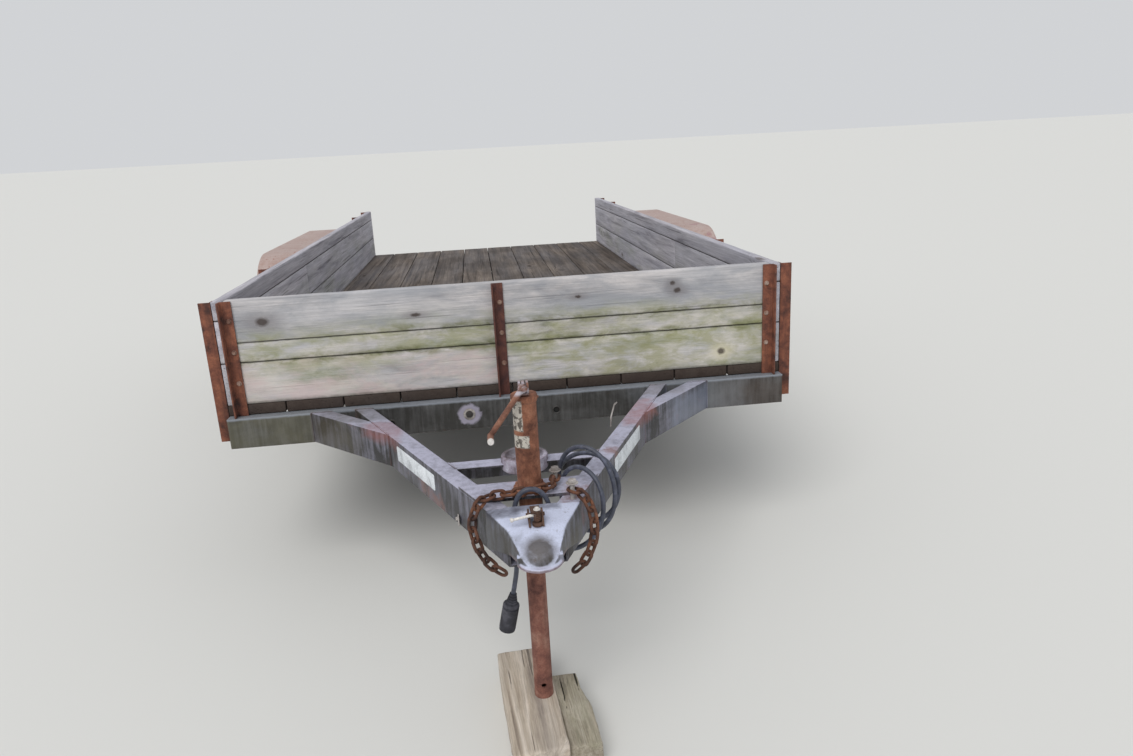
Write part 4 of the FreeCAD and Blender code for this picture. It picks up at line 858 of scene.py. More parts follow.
# Front wall: bottom and top of each plank above the bed frame
front_rows = [(0.038, 0.178), (0.18, 0.244), (0.2455, 0.3845)]
planks = []
for row, (low, high) in enumerate(front_rows):
    piece = board(f"plank_{row}", 2 * (HALF_WIDTH - PLANK_THICK) - 2 * SLIM, high - low + ROW_GROWS,
                  PLANK_THICK - 2 * SLIM, seed=row + 1, cell=0.03)
    middle = (0, WALL_FRONT + PLANK_THICK - SLIM, (low + high) / 2)
    planks.append(place(piece, moved(middle) @ upright("X")))
front_wall = joined(planks, "front_wall_planks")
done(front_wall, front_timber, ["front_planks"])
print("front wall faces:", len(front_wall.data.polygons))

# %% [markdown]
# ## Side walls
# Each side has three rows, and the middle row is made of two planks that meet end to end. The left wall
# is the right wall's mirror image in its places only: its planks have wear of their own.

# %% Side planks
# Row: bottom, top, start and end along the bed
side_rows = [(0.038, 0.178, 0.033, 4.115), (0.18, 0.32, 0.033, 1.391), (0.18, 0.32, 1.389, 4.115),
             (0.3215, 0.3845, 0.033, 4.115)]
for side, node in ((1, "right_planks"), (-1, "left_planks")):
    planks = []
    for row, (low, high, start, end) in enumerate(side_rows):
        piece = board(f"plank_{row}", end - start - 2 * SLIM, high - low + ROW_GROWS,
                      PLANK_THICK - 2 * SLIM, seed=10 * side + row, cell=0.05)
        near = HALF_WIDTH - PLANK_THICK + SLIM if side > 0 else SLIM - HALF_WIDTH
        middle = (near, (start + end) / 2, (low + high) / 2)
        planks.append(place(piece, moved(middle) @ upright("Y")))
    wall = joined(planks, node.replace("planks", "wall_planks"))
    done(wall, side_timber, [node])
    print(node, "box:", [round(value, 3) for value in wall.dimensions])

# %% [markdown]
# ## Deck
# Ten boards run the length of the bed, four millimetres apart. They stay damp and dark, and their front
# ends show as a brown strip under the front wall.

# %% Deck boards
DECK_PITCH = 0.1884
boards = []
for i in range(10):
    piece = board(f"deck_{i}", BED_REAR - WALL_FRONT - 2 * SLIM, DECK_PITCH - 0.0042,
                  DECK_TOP - 2 * SLIM, seed=30 + i, cell=0.07)
    middle = (DECK_PITCH * (i + 0.5) - HALF_WIDTH - 0.002, (WALL_FRONT + BED_REAR) / 2, SLIM)
    boards.append(place(piece, moved(middle) @ turning(90, "Z")))
deck = joined(boards, "deck_boards_worn")
done(deck, deck_timber, ["deck_boards"])
print("deck faces:", len(deck.data.polygons))

# %% [markdown]
# ## The block under the jack
# A short length of old timber carries the ram, and a piece that split off it lies beside it. Both lie
# flat on the floor, so they are made in the room's frame and are not parked with the trailer.

# %% Block and slab
BLOCK_AT = moved((-0.036, -2.35655, 0)) @ turning(4, "Z")
lengthways = turning(90, "Z")


def rest_on_floor(piece):
    """Presses the corners that roughening pushed through the floor flat on to it."""
    edit(piece)
    pick("VERT", lambda corner: corner.co.z < 0.0015)
    bpy.ops.transform.resize(value=(1, 1, 0), center_override=(0, 0, 0))
    leave_edit()


block = board("jack_block_worn", 0.398, 0.135, 0.0888, seed=51, cell=0.012, worn=0.005, wave=0.0035,
              cells_across=12)
roughened(block, 0.002, 0.018, seed=54)
place(block, BLOCK_AT @ lengthways)
rest_on_floor(block)
done(block, block_timber, ["jack_block"], park=False)
slab_piece = board("jack_slab_worn", 0.285, 0.082, 0.069, seed=52, cell=0.01, worn=0.005, wave=0.005,
                   cells_across=9)
edit(slab_piece)
# The split ran out of the block at a slant: one end is wider than the other.
pick("VERT", lambda corner: corner.co.x > 0.1 and corner.co.y < -0.015)
nudge((-0.012, 0.014, 0), use_proportional_edit=True,
                            proportional_size=0.12, proportional_edit_falloff="SMOOTH")
leave_edit()
roughened(slab_piece, 0.0045, 0.022, seed=53)
place(slab_piece, BLOCK_AT @ moved((0.0688 + 0.042, -0.04, 0)) @ lengthways)
rest_on_floor(slab_piece)
done(slab_piece, slab_timber, ["jack_slab"], park=False)
print("block top:", round(max((block.matrix_world @ Vector(c)).z for c in block.bound_box), 4))

# %% [markdown]
# ## Stakes
# The walls stand between lengths of rolled angle iron, rusted all over. One leg is bolted flat to the
# planks and the other stands out square. An angle is shaped from a bar, by extruding a strip of its
# face, once at the front stakes' length and once at the side stakes', and every stake is a copy of one of
# them.

# %% Angle iron stakes
STAKE_TOP = 0.383
STAKE_LEG = 0.038
STAKE_WALL = 0.005


def angle_iron(name, low, high, leg):
    """Angle along Z with its corner on the origin: one leg along +X, the other towards -Y."""
    piece = slab(name, (0, -STAKE_WALL, low), (STAKE_LEG, 0, high), edge=0)
    edit(piece)
    pick_all()
    bpy.ops.mesh.bisect(plane_co=(STAKE_WALL, 0, 0), plane_no=(1, 0, 0))
    pick("FACE", lambda face: face.normal.y < -0.9 and middle_of(face).x < STAKE_WALL)
    pull((0, STAKE_WALL - leg, 0))
    pick("EDGE", is_sharp)
    round_edges(0.0008)
    pick_all()
    leave_edit()
    return smooth(piece, 40)


STAKES_X = (-0.895, -0.028, 0.895)
flip = Matrix.Scale(-1, 4, (1, 0, 0))
front_marks = []
for x in STAKES_X:
    front_marks.append(moved((x - STAKE_LEG / 2 if x < 0 else x + STAKE_LEG / 2, WALL_FRONT, 0))
                       @ (Matrix() if x < 0 else flip))
front_stakes = copied(angle_iron("stake", 0, STAKE_TOP, WALL_FRONT), front_marks, "front_stake_irons")
outward(front_stakes)
done(front_stakes, stake_rust, ["front_stakes"])
side_starts = [WALL_FRONT, 0.81, 3.56, BED_REAR - STAKE_LEG]
for side, node in ((1, "right_stakes"), (-1, "left_stakes")):
    marks = [(flip if side < 0 else Matrix()) @ moved((HALF_WIDTH, start, 0))
             @ turning(90, "Z") for start in side_starts]
    irons = copied(angle_iron("stake", -0.085, STAKE_TOP, STAKE_LEG), marks, node[:-1] + "_irons")
    outward(irons)
    done(irons, stake_rust, [node])
print("stakes:", len(front_marks) + 2 * len(side_starts))

# %% [markdown]
# ## Bolts
# Each stake is held to each plank by one bolt, its head and washer dull with zinc and rust. The head is a
# six-sided bar on a round washer with its corners taken off. It is modelled once, lying on z = 0 and
# looking up, and every bolt on the trailer is a copy of it.

# %% One bolt head and the bolts of the walls
def bolt_head(name, across=0.0058, height=0.005, washer=0.0082):
    """Hexagon head on its washer, on the origin, looking up."""
    ring = bar("washer", (0, 0, 0), (0, 0, 0.0018), washer, sides=20, edge=0.0004)
    head = bar("head", (0, 0, 0.0012), (0, 0, 0.0012 + height), across, sides=6, edge=0)
    edit(head)
    pick("FACE", lambda face: face.normal.z > 0.9)
    bpy.ops.mesh.inset(thickness=across * 0.14)
    nudge((0, 0, height * 0.16))
    leave_edit()
    return joined([ring, head], name)


looks_forward = turning(90, "X")
looks_right = turning(90, "Y")
bolt_marks = []
for x in STAKES_X:
    for low, high in front_rows:
        bolt_marks.append(moved((x + (0.006 if x < 0 else -0.006), WALL_FRONT - STAKE_WALL,
                                              (low + high) / 2 + 0.004)) @ looks_forward)
for side in (1, -1):
    for start in side_starts:
        for height in (-0.05, 0.108, 0.25, 0.352):
            spot = moved((HALF_WIDTH + STAKE_WALL, start + 0.024, height)) @ looks_right
            bolt_marks.append((flip if side < 0 else Matrix()) @ spot)
wall_bolts = copied(bolt_head("bolt"), bolt_marks, "wall_bolts")
outward(wall_bolts)
done(wall_bolts, wall_bolt_rust, soft=30)
print("wall bolts:", len(bolt_marks))
# %% [markdown]
# ## Steel sections
# The drawbar is rectangular tube and the bed is hot-rolled channel. No rolled section has a sharp edge:
# a tube's corners are as round as its wall is thick. The solids already have the right sections, so a
# copy of each is cleaned to flat faces and its edges are rounded. The solids themselves stay as they are.

# %% Rounded copies of the sections
def carried_over(node, name):
    """A copy of a solid's mesh in the trailer's frame, cleaned to flat faces."""
    twin = twin_of(nodes[node])
    twin.parent = None
    twin.matrix_world = nodes[node].matrix_world.copy()
    twin.name = name
    place(twin, PARKED.inverted())
    outward(twin)
    edit(twin)
    pick_all()
    bpy.ops.mesh.dissolve_limited(angle_limit=math.radians(0.5))
    return leave_edit()


def softened(node, name, radius, rounds=3):
    """A carried-over copy with its edges rounded."""
    piece = carried_over(node, name)
    modify(piece, "BEVEL", width=radius, segments=rounds, limit_method="ANGLE",
           angle_limit=math.radians(35), use_clamp_overlap=True)
    return smooth(piece, 35)


# Node, edge radius in metres
sections = [
    ("tongue_right", 0.004), ("tongue_left", 0.004), ("tongue_braces", 0.004), ("crossbar", 0.0022),
    ("front_crossmember", 0.0022), ("rear_crossmember", 0.0022), ("side_rail_right", 0.0022),
    ("side_rail_left", 0.0022), ("joists", 0.002),
]
drawbar_nodes = ("tongue_right", "tongue_left", "tongue_braces", "crossbar")
for node, radius in sections:
    piece = softened(node, node + "_steel", radius)
    done(piece, frame_paint if node in drawbar_nodes else rail_paint, [node])
print("sections rounded:", len(sections))

# %% [markdown]
# ## Weld beads
# A weld bead is a row of frozen puddles, each a flat scale that overlaps the last. One scale is a
# flattened ball, an array lays the row, and each row is turned to its joint.

# %% Beads where the steel is joined
def bead(start, end, radius=0.0034, step=0.003):
    """A row of overlapping scales from start to end."""
    start = Vector(start)
    run = Vector(end) - start
    scale = ball(radius, 10, 6, flat=(0.75, 1.0, 0.72))
    modify(scale, "ARRAY", count=max(2, round(run.length / step)), use_relative_offset=False,
           use_constant_offset=True, constant_offset_displace=(step, 0, 0))
    lean = run.to_track_quat("X", "Z").to_matrix().to_4x4()
    return place(scale, moved(start) @ lean)


OUTER_AT_0 = 0.52527
INNER_AT_0 = 0.469
TAPER = math.tan(math.radians(25))


def outer_x(y):
    """How far out the drawbar's outer face is at y."""
    return OUTER_AT_0 + TAPER * y


def inner_x(y):
    """How far out the drawbar's inner face is at y."""
    return INNER_AT_0 + TAPER * y


rows = []
for side in (1, -1):
    rows += [
        # Drawbar tube to the front crossmember, over the top and down the outside
        bead((side * inner_x(0), -0.001, 0), (side * outer_x(0), -0.001, 0)),
        bead((side * outer_x(0), -0.001, -0.002), (side * outer_x(0), -0.001, -0.1)),
        # Crossbar to the drawbar
        bead((side * inner_x(-0.613), -0.613, 0.0), (side * inner_x(-0.567), -0.567, 0.0)),
        bead((side * inner_x(-0.616), -0.616, -0.002), (side * inner_x(-0.616), -0.616, -0.006)),
        # Brace to the crossmember
        bead((side * 0.602, -0.001, 0), (side * 0.67, -0.001, 0)),
        bead((side * 0.67, -0.001, -0.002), (side * 0.67, -0.001, -0.1)),
    ]
# Brace to the drawbar: the line where its top meets the tube's outer face
BRACE_RISE = math.tan(math.radians(44))
BRACE_FOOT = 0.67
BRACE_SPAN = 0.0709
for side in (1, -1):
    near_y = (BRACE_FOOT - BRACE_SPAN - OUTER_AT_0) / (TAPER - BRACE_RISE)
    far_y = (BRACE_FOOT - OUTER_AT_0) / (TAPER - BRACE_RISE)
    rows.append(bead((side * outer_x(near_y), near_y, 0), (side * outer_x(far_y), far_y, 0)))
    rows.append(bead((side * outer_x(far_y), far_y, -0.002), (side * outer_x(far_y), far_y, -0.1)))
beads = joined(rows, "weld_beads")
done(beads, frame_paint, soft=60)
print("weld rows:", len(rows))

# %% [markdown]
# ## Coupler
# The coupler is pressed from 6 mm plate: a flat top that narrows and steps down to the nose, deep sides, a
# dome over the ball with an ear on each side, and a rolled lower lip. Its copy gets the lip, which starts
# as a torus that is cut at its rear. A fine voxel remesh then melts them together, as a press leaves no
# sharp corner.

# %% Coupler shell with its rolled lip
def weighted(piece, name, zones):
    """A vertex group: each zone is a weight and a test, and later zones win."""
    group = piece.vertex_groups.new(name=name)
    edit(piece)
    for weight, test in zones:
        pick("VERT", test)
        piece.vertex_groups.active_index = group.index
        bpy.context.scene.tool_settings.vertex_group_weight = weight
        bpy.ops.object.vertex_group_assign()
    leave_edit()


def half_at(y):
    """About half the coupler's width at y."""
    return 0.045 + 0.42 * max(0, y + 1.03)


NOSE_Y = -1.064
LIP_RADIUS = 0.0458
LIP_Z = -0.0495
shell = carried_over("coupler", "coupler_shell")
lip = hoop(LIP_RADIUS, 0.004, 48, centre=(0, NOSE_Y, LIP_Z))
edit(lip)
pick_all()
bpy.ops.mesh.bisect(plane_co=(0, NOSE_Y + 0.012, 0), plane_no=(0, 1, 0), clear_outer=True, use_fill=True)
leave_edit()
coupler = joined([shell, lip], "coupler_pressing")
modify(coupler, "REMESH", mode="VOXEL", voxel_size=0.0019, use_smooth_shade=True)
modify(coupler, "SMOOTH", factor=0.6, iterations=7)
# The press rolled the shoulders and the dome's foot round: long smoothing, kept to those zones.
weighted(coupler, "rolled", [
    (0.3, lambda v: v.co.z > -0.034 and abs(v.co.x) > 0.6 * half_at(v.co.y) and v.co.y > -1.045),
    (1.0, lambda v: v.co.z > -0.028 and abs(v.co.x) > 0.66 * half_at(v.co.y) and -1.035 < v.co.y < -0.885),
    (0.0, lambda v: v.co.y > -0.87),
])
modify(coupler, "SMOOTH", factor=0.6, iterations=110, vertex_group="rolled")
weighted(coupler, "dome_foot", [
    (1.0, lambda v: 0.027 < (v.co.xy - Vector((0, NOSE_Y))).length < 0.044 and v.co.z > -0.036),
])
modify(coupler, "SMOOTH", factor=0.6, iterations=30, vertex_group="dome_foot")
done(coupler, coupler_paint, ["coupler"])
print("coupler faces:", len(coupler.data.polygons))

# %% [markdown]
# ## Latch
# The latch stands in a slot of the coupler's top: two ears with a pin, a lever that clamps down, a
# compression spring on a bolt, and a thin pale safety pin that sticks out to the left. The spring is a
# small circle that the screw modifier winds up.

# %% Latch, spring and safety pin
def coil(name, low, height, radius, wire, turns):
    """A round-wire spring that stands on a point."""
    bpy.ops.mesh.primitive_circle_add(vertices=8, radius=wire, location=(radius, 0, 0),
                                      rotation=(math.radians(90), 0, 0))
    ring = started_piece(name)
    modify(ring, "SCREW", angle=math.tau * turns, screw_offset=height, steps=14 * turns,
           render_steps=14 * turns, use_smooth_shade=True, use_merge_vertices=True)
    place(ring, moved(low))
    return outward(ring)


LATCH_Y = -0.987
SPRING_Y = LATCH_Y - 0.018
PLATE_TOP = 0.006
ears = []
for x in (-0.015, 0.015):
    ear = slab("latch_ear", (x - 0.0022, LATCH_Y - 0.031, PLATE_TOP - 0.001),
               (x + 0.0022, LATCH_Y + 0.031, 0.03), edge=0)
    edit(ear)
    # The top edge is shorter than the foot, so the ears lean back at both ends.
    pick("VERT", lambda corner: corner.co.z > 0.02 and corner.co.y < LATCH_Y)
    nudge((0, 0.022, 0))
    pick("VERT", lambda corner: corner.co.z > 0.02 and corner.co.y > LATCH_Y)
    nudge((0, -0.008, 0))
    pick("EDGE", lambda edge: abs(edge.verts[0].co.x - edge.verts[1].co.x) > 0.001)
    round_edges(0.006, 4)
    leave_edit()
    ears.append(ear)
lever = slab("latch_lever", (-0.011, LATCH_Y - 0.024, 0.026), (0.011, LATCH_Y + 0.03, 0.031), edge=0)
edit(lever)
pick_all()
bpy.ops.mesh.subdivide(number_cuts=3)
pick("VERT", lambda corner: corner.co.y < LATCH_Y - 0.012)
nudge((0, 0, 0.01), use_proportional_edit=True, proportional_size=0.02, proportional_edit_falloff="SMOOTH")
pick("EDGE", is_sharp)
round_edges(0.0014)
leave_edit()
pin = bar("latch_pin", (-0.021, LATCH_Y + 0.006, 0.0205), (0.021, LATCH_Y + 0.006, 0.0205), 0.0045)
spring_bolt = bar("latch_bolt", (0.003, SPRING_Y, 0.01), (0.003, SPRING_Y, 0.0395), 0.0035)
spring_nut = bar("latch_nut", (0.003, SPRING_Y, 0.0365), (0.003, SPRING_Y, 0.0425), 0.0075, sides=6, edge=0)
spring = coil("latch_spring", (0.003, SPRING_Y, 0.016), 0.02, 0.0072, 0.0013, 5)
seat = bar("latch_seat", (0.003, SPRING_Y, 0.0055), (0.003, SPRING_Y, 0.013), 0.012, sides=20)
latch = joined(ears + [lever, pin, spring_bolt, spring_nut, spring, seat], "coupler_latch_worn")
done(latch, dark_rust, ["coupler_latch"], soft=40)
bolt_top = bolt_head("latch_bright_nut", across=0.0052, height=0.004, washer=0.0078)
place(bolt_top, moved((0.003, SPRING_Y, 0.0425)))
safety_pin = bar("safety_pin", (0.004, LATCH_Y - 0.014, 0.03), (-0.052, LATCH_Y - 0.026, 0.027), 0.0036,
                 tip=0.003)
knob = bar("safety_knob", (-0.05, LATCH_Y - 0.0256, 0.0271), (-0.057, LATCH_Y - 0.0271, 0.0267), 0.005,
           edge=0.002)
bright = joined([bolt_top, safety_pin, knob], "latch_bright_parts")
done(bright, pale_zinc, soft=40)
print("latch faces:", len(latch.data.polygons))

# %% [markdown]
# ## Jack
# The jack is a screw jack: a fixed tube that is held by a flange on the jack plate, a capped top with
# the screw's head, a folding crank and a ram that slides down out of the tube on to the block. The tube
# and ram are turned from outlines. The ram's end is cut level where it stands on the block, and a pin
# hole goes through it just above.

# %% Jack tube, cap and flange
JACK_Y = -0.803
tube_outline = [(-190, 25.2), (-190, 28.4), (-188.8, 29), (230, 29), (231.5, 31.2), (234, 32), (245.5, 32),
                (248.5, 30.5), (250, 26), (250, 11), (253, 10), (253, 6), (244, 6), (244, 25.2)]
jack_tube = turned("jack_tube", tube_outline, (0, JACK_Y, 0), "Z", steps=64)
flange_outline = [(8, 29.2), (8, 39.5), (8.7, 40.2), (13.2, 40.2), (14, 39.4), (14, 33), (16.5, 30.8),
                  (17.5, 29.2)]
flange = turned("jack_flange", flange_outline, (0, JACK_Y, 0), "Z", steps=64)
collar_outline = [(-190, 24), (-190, 30), (-188.5, 31), (-178, 31), (-176.5, 30), (-176.5, 28.5)]
collar = turned("jack_lower_band", collar_outline, (0, JACK_Y, 0), "Z", steps=64)
jack_parts = [jack_tube, flange, collar]
for degrees in (60, 180, 300):
    head = bolt_head("flange_bolt", across=0.005, height=0.0042, washer=0.0056)
    spot = Vector((math.sin(math.radians(degrees)), math.cos(math.radians(degrees)), 0)) * 0.0345
    jack_parts.append(place(head, moved(spot + Vector((0, JACK_Y, 0.0138)))))
# A folded seam runs down the back of the tube, and the cap has a grease hole at its side.
jack_parts.append(slab("tube_seam", (-0.0012, JACK_Y + 0.0284, -0.188), (0.0012, JACK_Y + 0.0294, 0.231),
                       edge=0.0004))
jack_parts.append(bar("grease_screw", (0.029, JACK_Y - 0.004, 0.24), (0.0345, JACK_Y - 0.0045, 0.24),
                      0.0032))
jack_body = joined(jack_parts, "jack_body_worn")
done(jack_body, jack_rust, ["jack_outer"], soft=32)
plate = softened("jack_plate", "jack_plate_steel", 0.0016)
done(plate, frame_paint, ["jack_plate"])
print("jack faces:", len(jack_body.data.polygons))

# %% Ram, cut level on the block
RAM_PIN_Z = -0.53597
BLOCK_TOP = 0.089
ram_outline = [(-640, 19.5), (-640, 24), (70, 24), (70, 19.5)]
ram = turned("ram", ram_outline, (0, JACK_Y, 0), "Z", steps=64)
pin_hole = bar("pin_hole", (0, JACK_Y - 0.05, RAM_PIN_Z), (0, JACK_Y + 0.05, RAM_PIN_Z), 0.0065, sides=24,
               edge=0)
modify(ram, "BOOLEAN", operation="DIFFERENCE", object=pin_hole)
bpy.data.objects.remove(pin_hole)
band = turned("ram_band", [(-605, 23.8), (-605, 24.6), (-560, 24.6), (-558.5, 23.8)],
              (0, JACK_Y, 0), "Z", steps=64)
ram = joined([ram, band], "ram_worn")
place(ram, PARKED)
edit(ram)
pick_all()
bpy.ops.mesh.bisect(plane_co=(0, 0, BLOCK_TOP), plane_no=(0, 0, -1), clear_outer=True)
leave_edit()
done(ram, ram_rust, ["jack_inner"], soft=32, park=False)
print("ram stands at z =", round(min((ram.matrix_world @ Vector(c)).z for c in ram.bound_box), 4))

# %% [markdown]
# ## Crank
# The crank folds down beside the tube. Two cheeks stand on the screw head and hold a pin, the rod is
# flattened to an eye at the pin, and the grip at its far end is polished bright by hands.

# %% Folding crank
HINGE_Z = 0.273
ARM_START = Vector((-0.004, -0.845, HINGE_Z))
ARM_END = Vector((-0.0852, -0.845, 0.1652))
cheeks = []
for x in (-0.0092, 0.0092):
    cheek = slab("cheek", (x - 0.0025, -0.837, 0.2555), (x + 0.0025, -0.793, 0.281), edge=0)
    edit(cheek)
    pick("EDGE", lambda edge: abs(edge.verts[0].co.x - edge.verts[1].co.x) > 0.001
         and middle_of(edge).z > 0.27)
    round_edges(0.0095, 5)
    pick("EDGE", is_sharp)
    round_edges(0.0008)
    leave_edit()
    cheeks.append(cheek)
base_plate = slab("fork_base", (-0.0115, -0.837, 0.2535), (0.0115, -0.793, 0.2585), edge=0.0008)
stem = turned("screw_head", [(249, 0), (249, 12.5), (252.5, 12.5), (253, 9),
                             (259, 9), (259, 0)], (0, JACK_Y, 0), "Z", steps=32, closed=False)
hinge_pin = bar("hinge_pin", (0, -0.853, HINGE_Z), (0, -0.789, HINGE_Z), 0.0045)
pin_cap = bar("pin_cap", (0, -0.8545, HINGE_Z), (0, -0.8515, HINGE_Z), 0.0075, sides=20)
eye = bar("crank_eye", ARM_START + Vector((0, -0.0055, 0)), ARM_START + Vector((0, 0.0055, 0)), 0.0105,
          sides=24, edge=0.0012)
rod = bar("crank_rod", ARM_START + (ARM_END - ARM_START) * 0.04, ARM_END, 0.0068, sides=20, edge=0.0005)
elbow = ball(0.0073, 24, 14, ARM_END)
crank = joined(cheeks + [base_plate, stem, hinge_pin, pin_cap, eye, rod, elbow], "crank_worn")
done(crank, crank_rust, ["jack_crank"], soft=35)
grip = bar("crank_grip", ARM_END + Vector((0, 0.004, 0)), ARM_END + Vector((0, -0.038, 0)), 0.0074,
           sides=24, edge=0.0016)
done(grip, crank_rust, soft=35)
grip_end = bar("crank_grip_end", ARM_END + Vector((0, -0.036, 0)), ARM_END + Vector((0, -0.046, 0)), 0.0078,
               sides=24, edge=0.0022)
done(grip_end, pale_zinc, soft=35)
print("crank faces:", len(crank.data.polygons))

# %% [markdown]
# ## Safety chains
# Each link is a ring of round wire, bent to two straight sides and two half circles, and each is turned a
# quarter from the last. One link starts as a torus that is pulled apart in the middle. The links are
# laid along the route that the solids show, so they fall as the slack chain does.

# %% One link and the two chains
LINK_PITCH = 0.027
LINK_WIRE = 0.008
LINK_WIDTH = 0.029
LINK_STEP = 0.02605


def chain_link():
    """A link on the origin: its length along X and its width along Y."""
    bend = (LINK_WIDTH - LINK_WIRE) / 2
    link = hoop(bend, LINK_WIRE / 2, 24)
    straight = (LINK_PITCH + LINK_WIRE) / 2 - bend
    edit(link)
    # The ring is cut through its middle and its halves are pulled apart.
    pick("VERT", lambda corner: corner.co.x > 0.0001)
    nudge((straight, 0, 0))
    pick("VERT", lambda corner: corner.co.x < -0.0001)
    nudge((-straight, 0, 0))
    return leave_edit()


def along_route(route):
    """A matrix for each link of a chain, turned a quarter from one to the next."""
    corners = [Vector(point) / 1000 for point in route]
    lengths = [(b - a).length for a, b in zip(corners, corners[1:])]

    def at(distance):
        for a, b, length in zip(corners, corners[1:], lengths):
            if distance <= length:
                return a + (b - a) * (distance / length)
            distance -= length
        return corners[-1]
    marks = []
    side = None
    for i in range(int(sum(lengths) / LINK_STEP)):
        start = at(i * LINK_STEP)
        end = at((i + 1) * LINK_STEP)
        along = (end - start).normalized()
        if side is None:
            side = Vector((0, 0, 1)).cross(along)
        side = (side - along * side.dot(along)).normalized()
        flat = side if i % 2 == 0 else along.cross(side)
        turn_to = Matrix((along, flat, along.cross(flat))).transposed().to_4x4()
        marks.append(moved((start + end) / 2) @ turn_to)
    return marks


# Routes in millimetres of the trailer's frame, from the anchor bolt to the free end
left_route = [(66, -780, 24), (53, -832, 24), (24, -856, 24), (-20, -859, 24), (-64, -864, 24),
              (-98, -872, 27), (-124, -888, 22), (-140, -908, 0), (-144, -926, -34), (-130, -944, -74),
              (-112, -954, -104), (-84, -960, -126), (-58, -963, -138)]
right_route = [(92, -868, 24), (112, -886, 22), (131, -906, 4), (138, -924, -26), (137, -938, -58),
               (128, -948, -92), (108, -956, -122), (78, -960, -144)]
marks = along_route(left_route) + along_route(right_route)
chains = copied(chain_link(), marks, "chain_links")
done(chains, chain_rust, ["safety_chains"], soft=60)
anchors = []
for route, foot in ((left_route, 0.008), (right_route, 0.0)):
    first = Vector(route[0]) / 1000
    along = (Vector(route[1]) / 1000 - first).normalized()
    spot = first + along * 0.0062
    anchors.append(bar("anchor_shank", (spot.x, spot.y, foot), (spot.x, spot.y, spot.z + 0.018), 0.006))
    washer = bar("anchor_washer", (spot.x, spot.y, spot.z + 0.0165), (spot.x, spot.y, spot.z + 0.0185),
                 0.0148, sides=28, edge=0.0005)
    head = bar("anchor_head", (spot.x, spot.y, spot.z + 0.018), (spot.x, spot.y, spot.z + 0.0262), 0.0105,
               sides=6, edge=0.001)
    anchors += [washer, head]
anchor_bolts = joined(anchors, "chain_anchor_bolts")
done(anchor_bolts, bolt_steel, ["chain_anchors"], soft=30)
print("links:", len(marks))

# %% [markdown]
# ## Boss on the crossbar
# A round dished boss sits over the crossbar behind the jack. Its rim is polished pale, and a darker coat
# over its rear half is painted shade. It is turned from one outline.

# %% Dished boss
boss_outline = [(-20, 0), (-20, 61), (-18, 63), (12.5, 63), (15.2, 61.8), (16.2, 59.5), (16.2, 54),
                (15, 51.5), (8.5, 50), (6.2, 48), (5.8, 16), (7.5, 14), (7.5, 0)]
boss = turned("boss", boss_outline, (0, -0.59, 0), "Z", steps=64, closed=False)
done(boss, boss_metal, ["crossbar_boss"], soft=32)
print("boss faces:", len(boss.data.polygons))

# %% [markdown]
# ## Reflector strips
# A blank white strip is stuck on the outer face of each drawbar tube. It is thin and its corners are
# round; the slight bulge between its ends is not modelled.

# %% White strips
strips = []
OUT = math.radians(25)
for side in (1, -1):
    strip = slab("strip", (-0.1405, 0, -0.0225), (0.1405, 0.0015, 0.0225), edge=0)
    edit(strip)
    pick("EDGE", lambda edge: abs(edge.verts[0].co.y - edge.verts[1].co.y) > 0.001)
    round_edges(0.005, 4)
    pick("EDGE", is_sharp)
    round_edges(0.0004)
    leave_edit()
    middle_y = -0.353 - 0.1405 * math.cos(OUT)
    middle = Vector((outer_x(middle_y), middle_y, -0.0375))
    flat_on = Matrix((Vector((-math.sin(OUT), -math.cos(OUT), 0)),
                      Vector((math.cos(OUT), -math.sin(OUT), 0)), Vector((0, 0, 1)))).transposed().to_4x4()
    place(strip, (flip if side < 0 else Matrix()) @ moved(middle) @ flat_on)
    strips.append(strip)
strips = joined(strips, "reflector_strips_worn")
outward(strips)
done(strips, strip_white, ["reflector_strips"], soft=30)
print("strips:", [round(value, 3) for value in strips.dimensions])

# %% [markdown]
# ## Small things on the drawbar
# A bolt with a worn bright washer closes one hole of the crossmember, a bent wire hook stands on the
# right tube near its brace, and a small lamp clip hangs under the left tube.

# %% Crossmember bolt, wire hook and clip
HOLES_X = (-0.412, 0.143)
cross_bolt = bolt_head("cross_bolt", across=0.0095, height=0.006, washer=0.0205)
place(cross_bolt, moved((-0.152, -0.0002, -0.05)) @ looks_forward)
grommets = []
for x in HOLES_X:
    grommets.append(place(hoop(0.0125, 0.0022, 32, 8), moved((x, -0.0004, -0.06)) @ looks_forward))
hook_points = [(0.268, -0.392, 0.001), (0.27, -0.39, 0.03), (0.288, -0.345, 0.052), (0.3, -0.318, 0.05)]
hook = []
for low, high in zip(hook_points, hook_points[1:]):
    hook.append(bar("hook", low, high, 0.0022, sides=10, edge=0.0002))
    hook.append(ball(0.0022, 10, 6, high))
clip_y = -0.74
clip = [slab("clip_plate", (-outer_x(clip_y) - 0.0035, clip_y - 0.014, -0.098),
             (-outer_x(clip_y) + 0.0005, clip_y + 0.014, -0.074), edge=0.0008),
        bar("clip_screw", (-outer_x(clip_y) - 0.009, clip_y, -0.084),
            (-outer_x(clip_y) - 0.002, clip_y, -0.084), 0.0048, sides=6, edge=0.0005)]
rims = joined(grommets, "crossmember_hole_rims")
done(rims, rail_paint, soft=35)
# Near-black discs a little behind the two open holes are painted shadow inside them.
painted_hole_shadow_discs = joined([bar("hole_dirt", (x, 0.0035, -0.06), (x, 0.005, -0.06), 0.012, sides=24, edge=0)
                 for x in HOLES_X], "dirt_in_the_holes")
done(painted_hole_shadow_discs, painted_hole_shadow)
small = joined([cross_bolt] + hook + clip, "drawbar_fittings")
done(small, bolt_steel, soft=35)
print("fittings faces:", len(small.data.polygons))

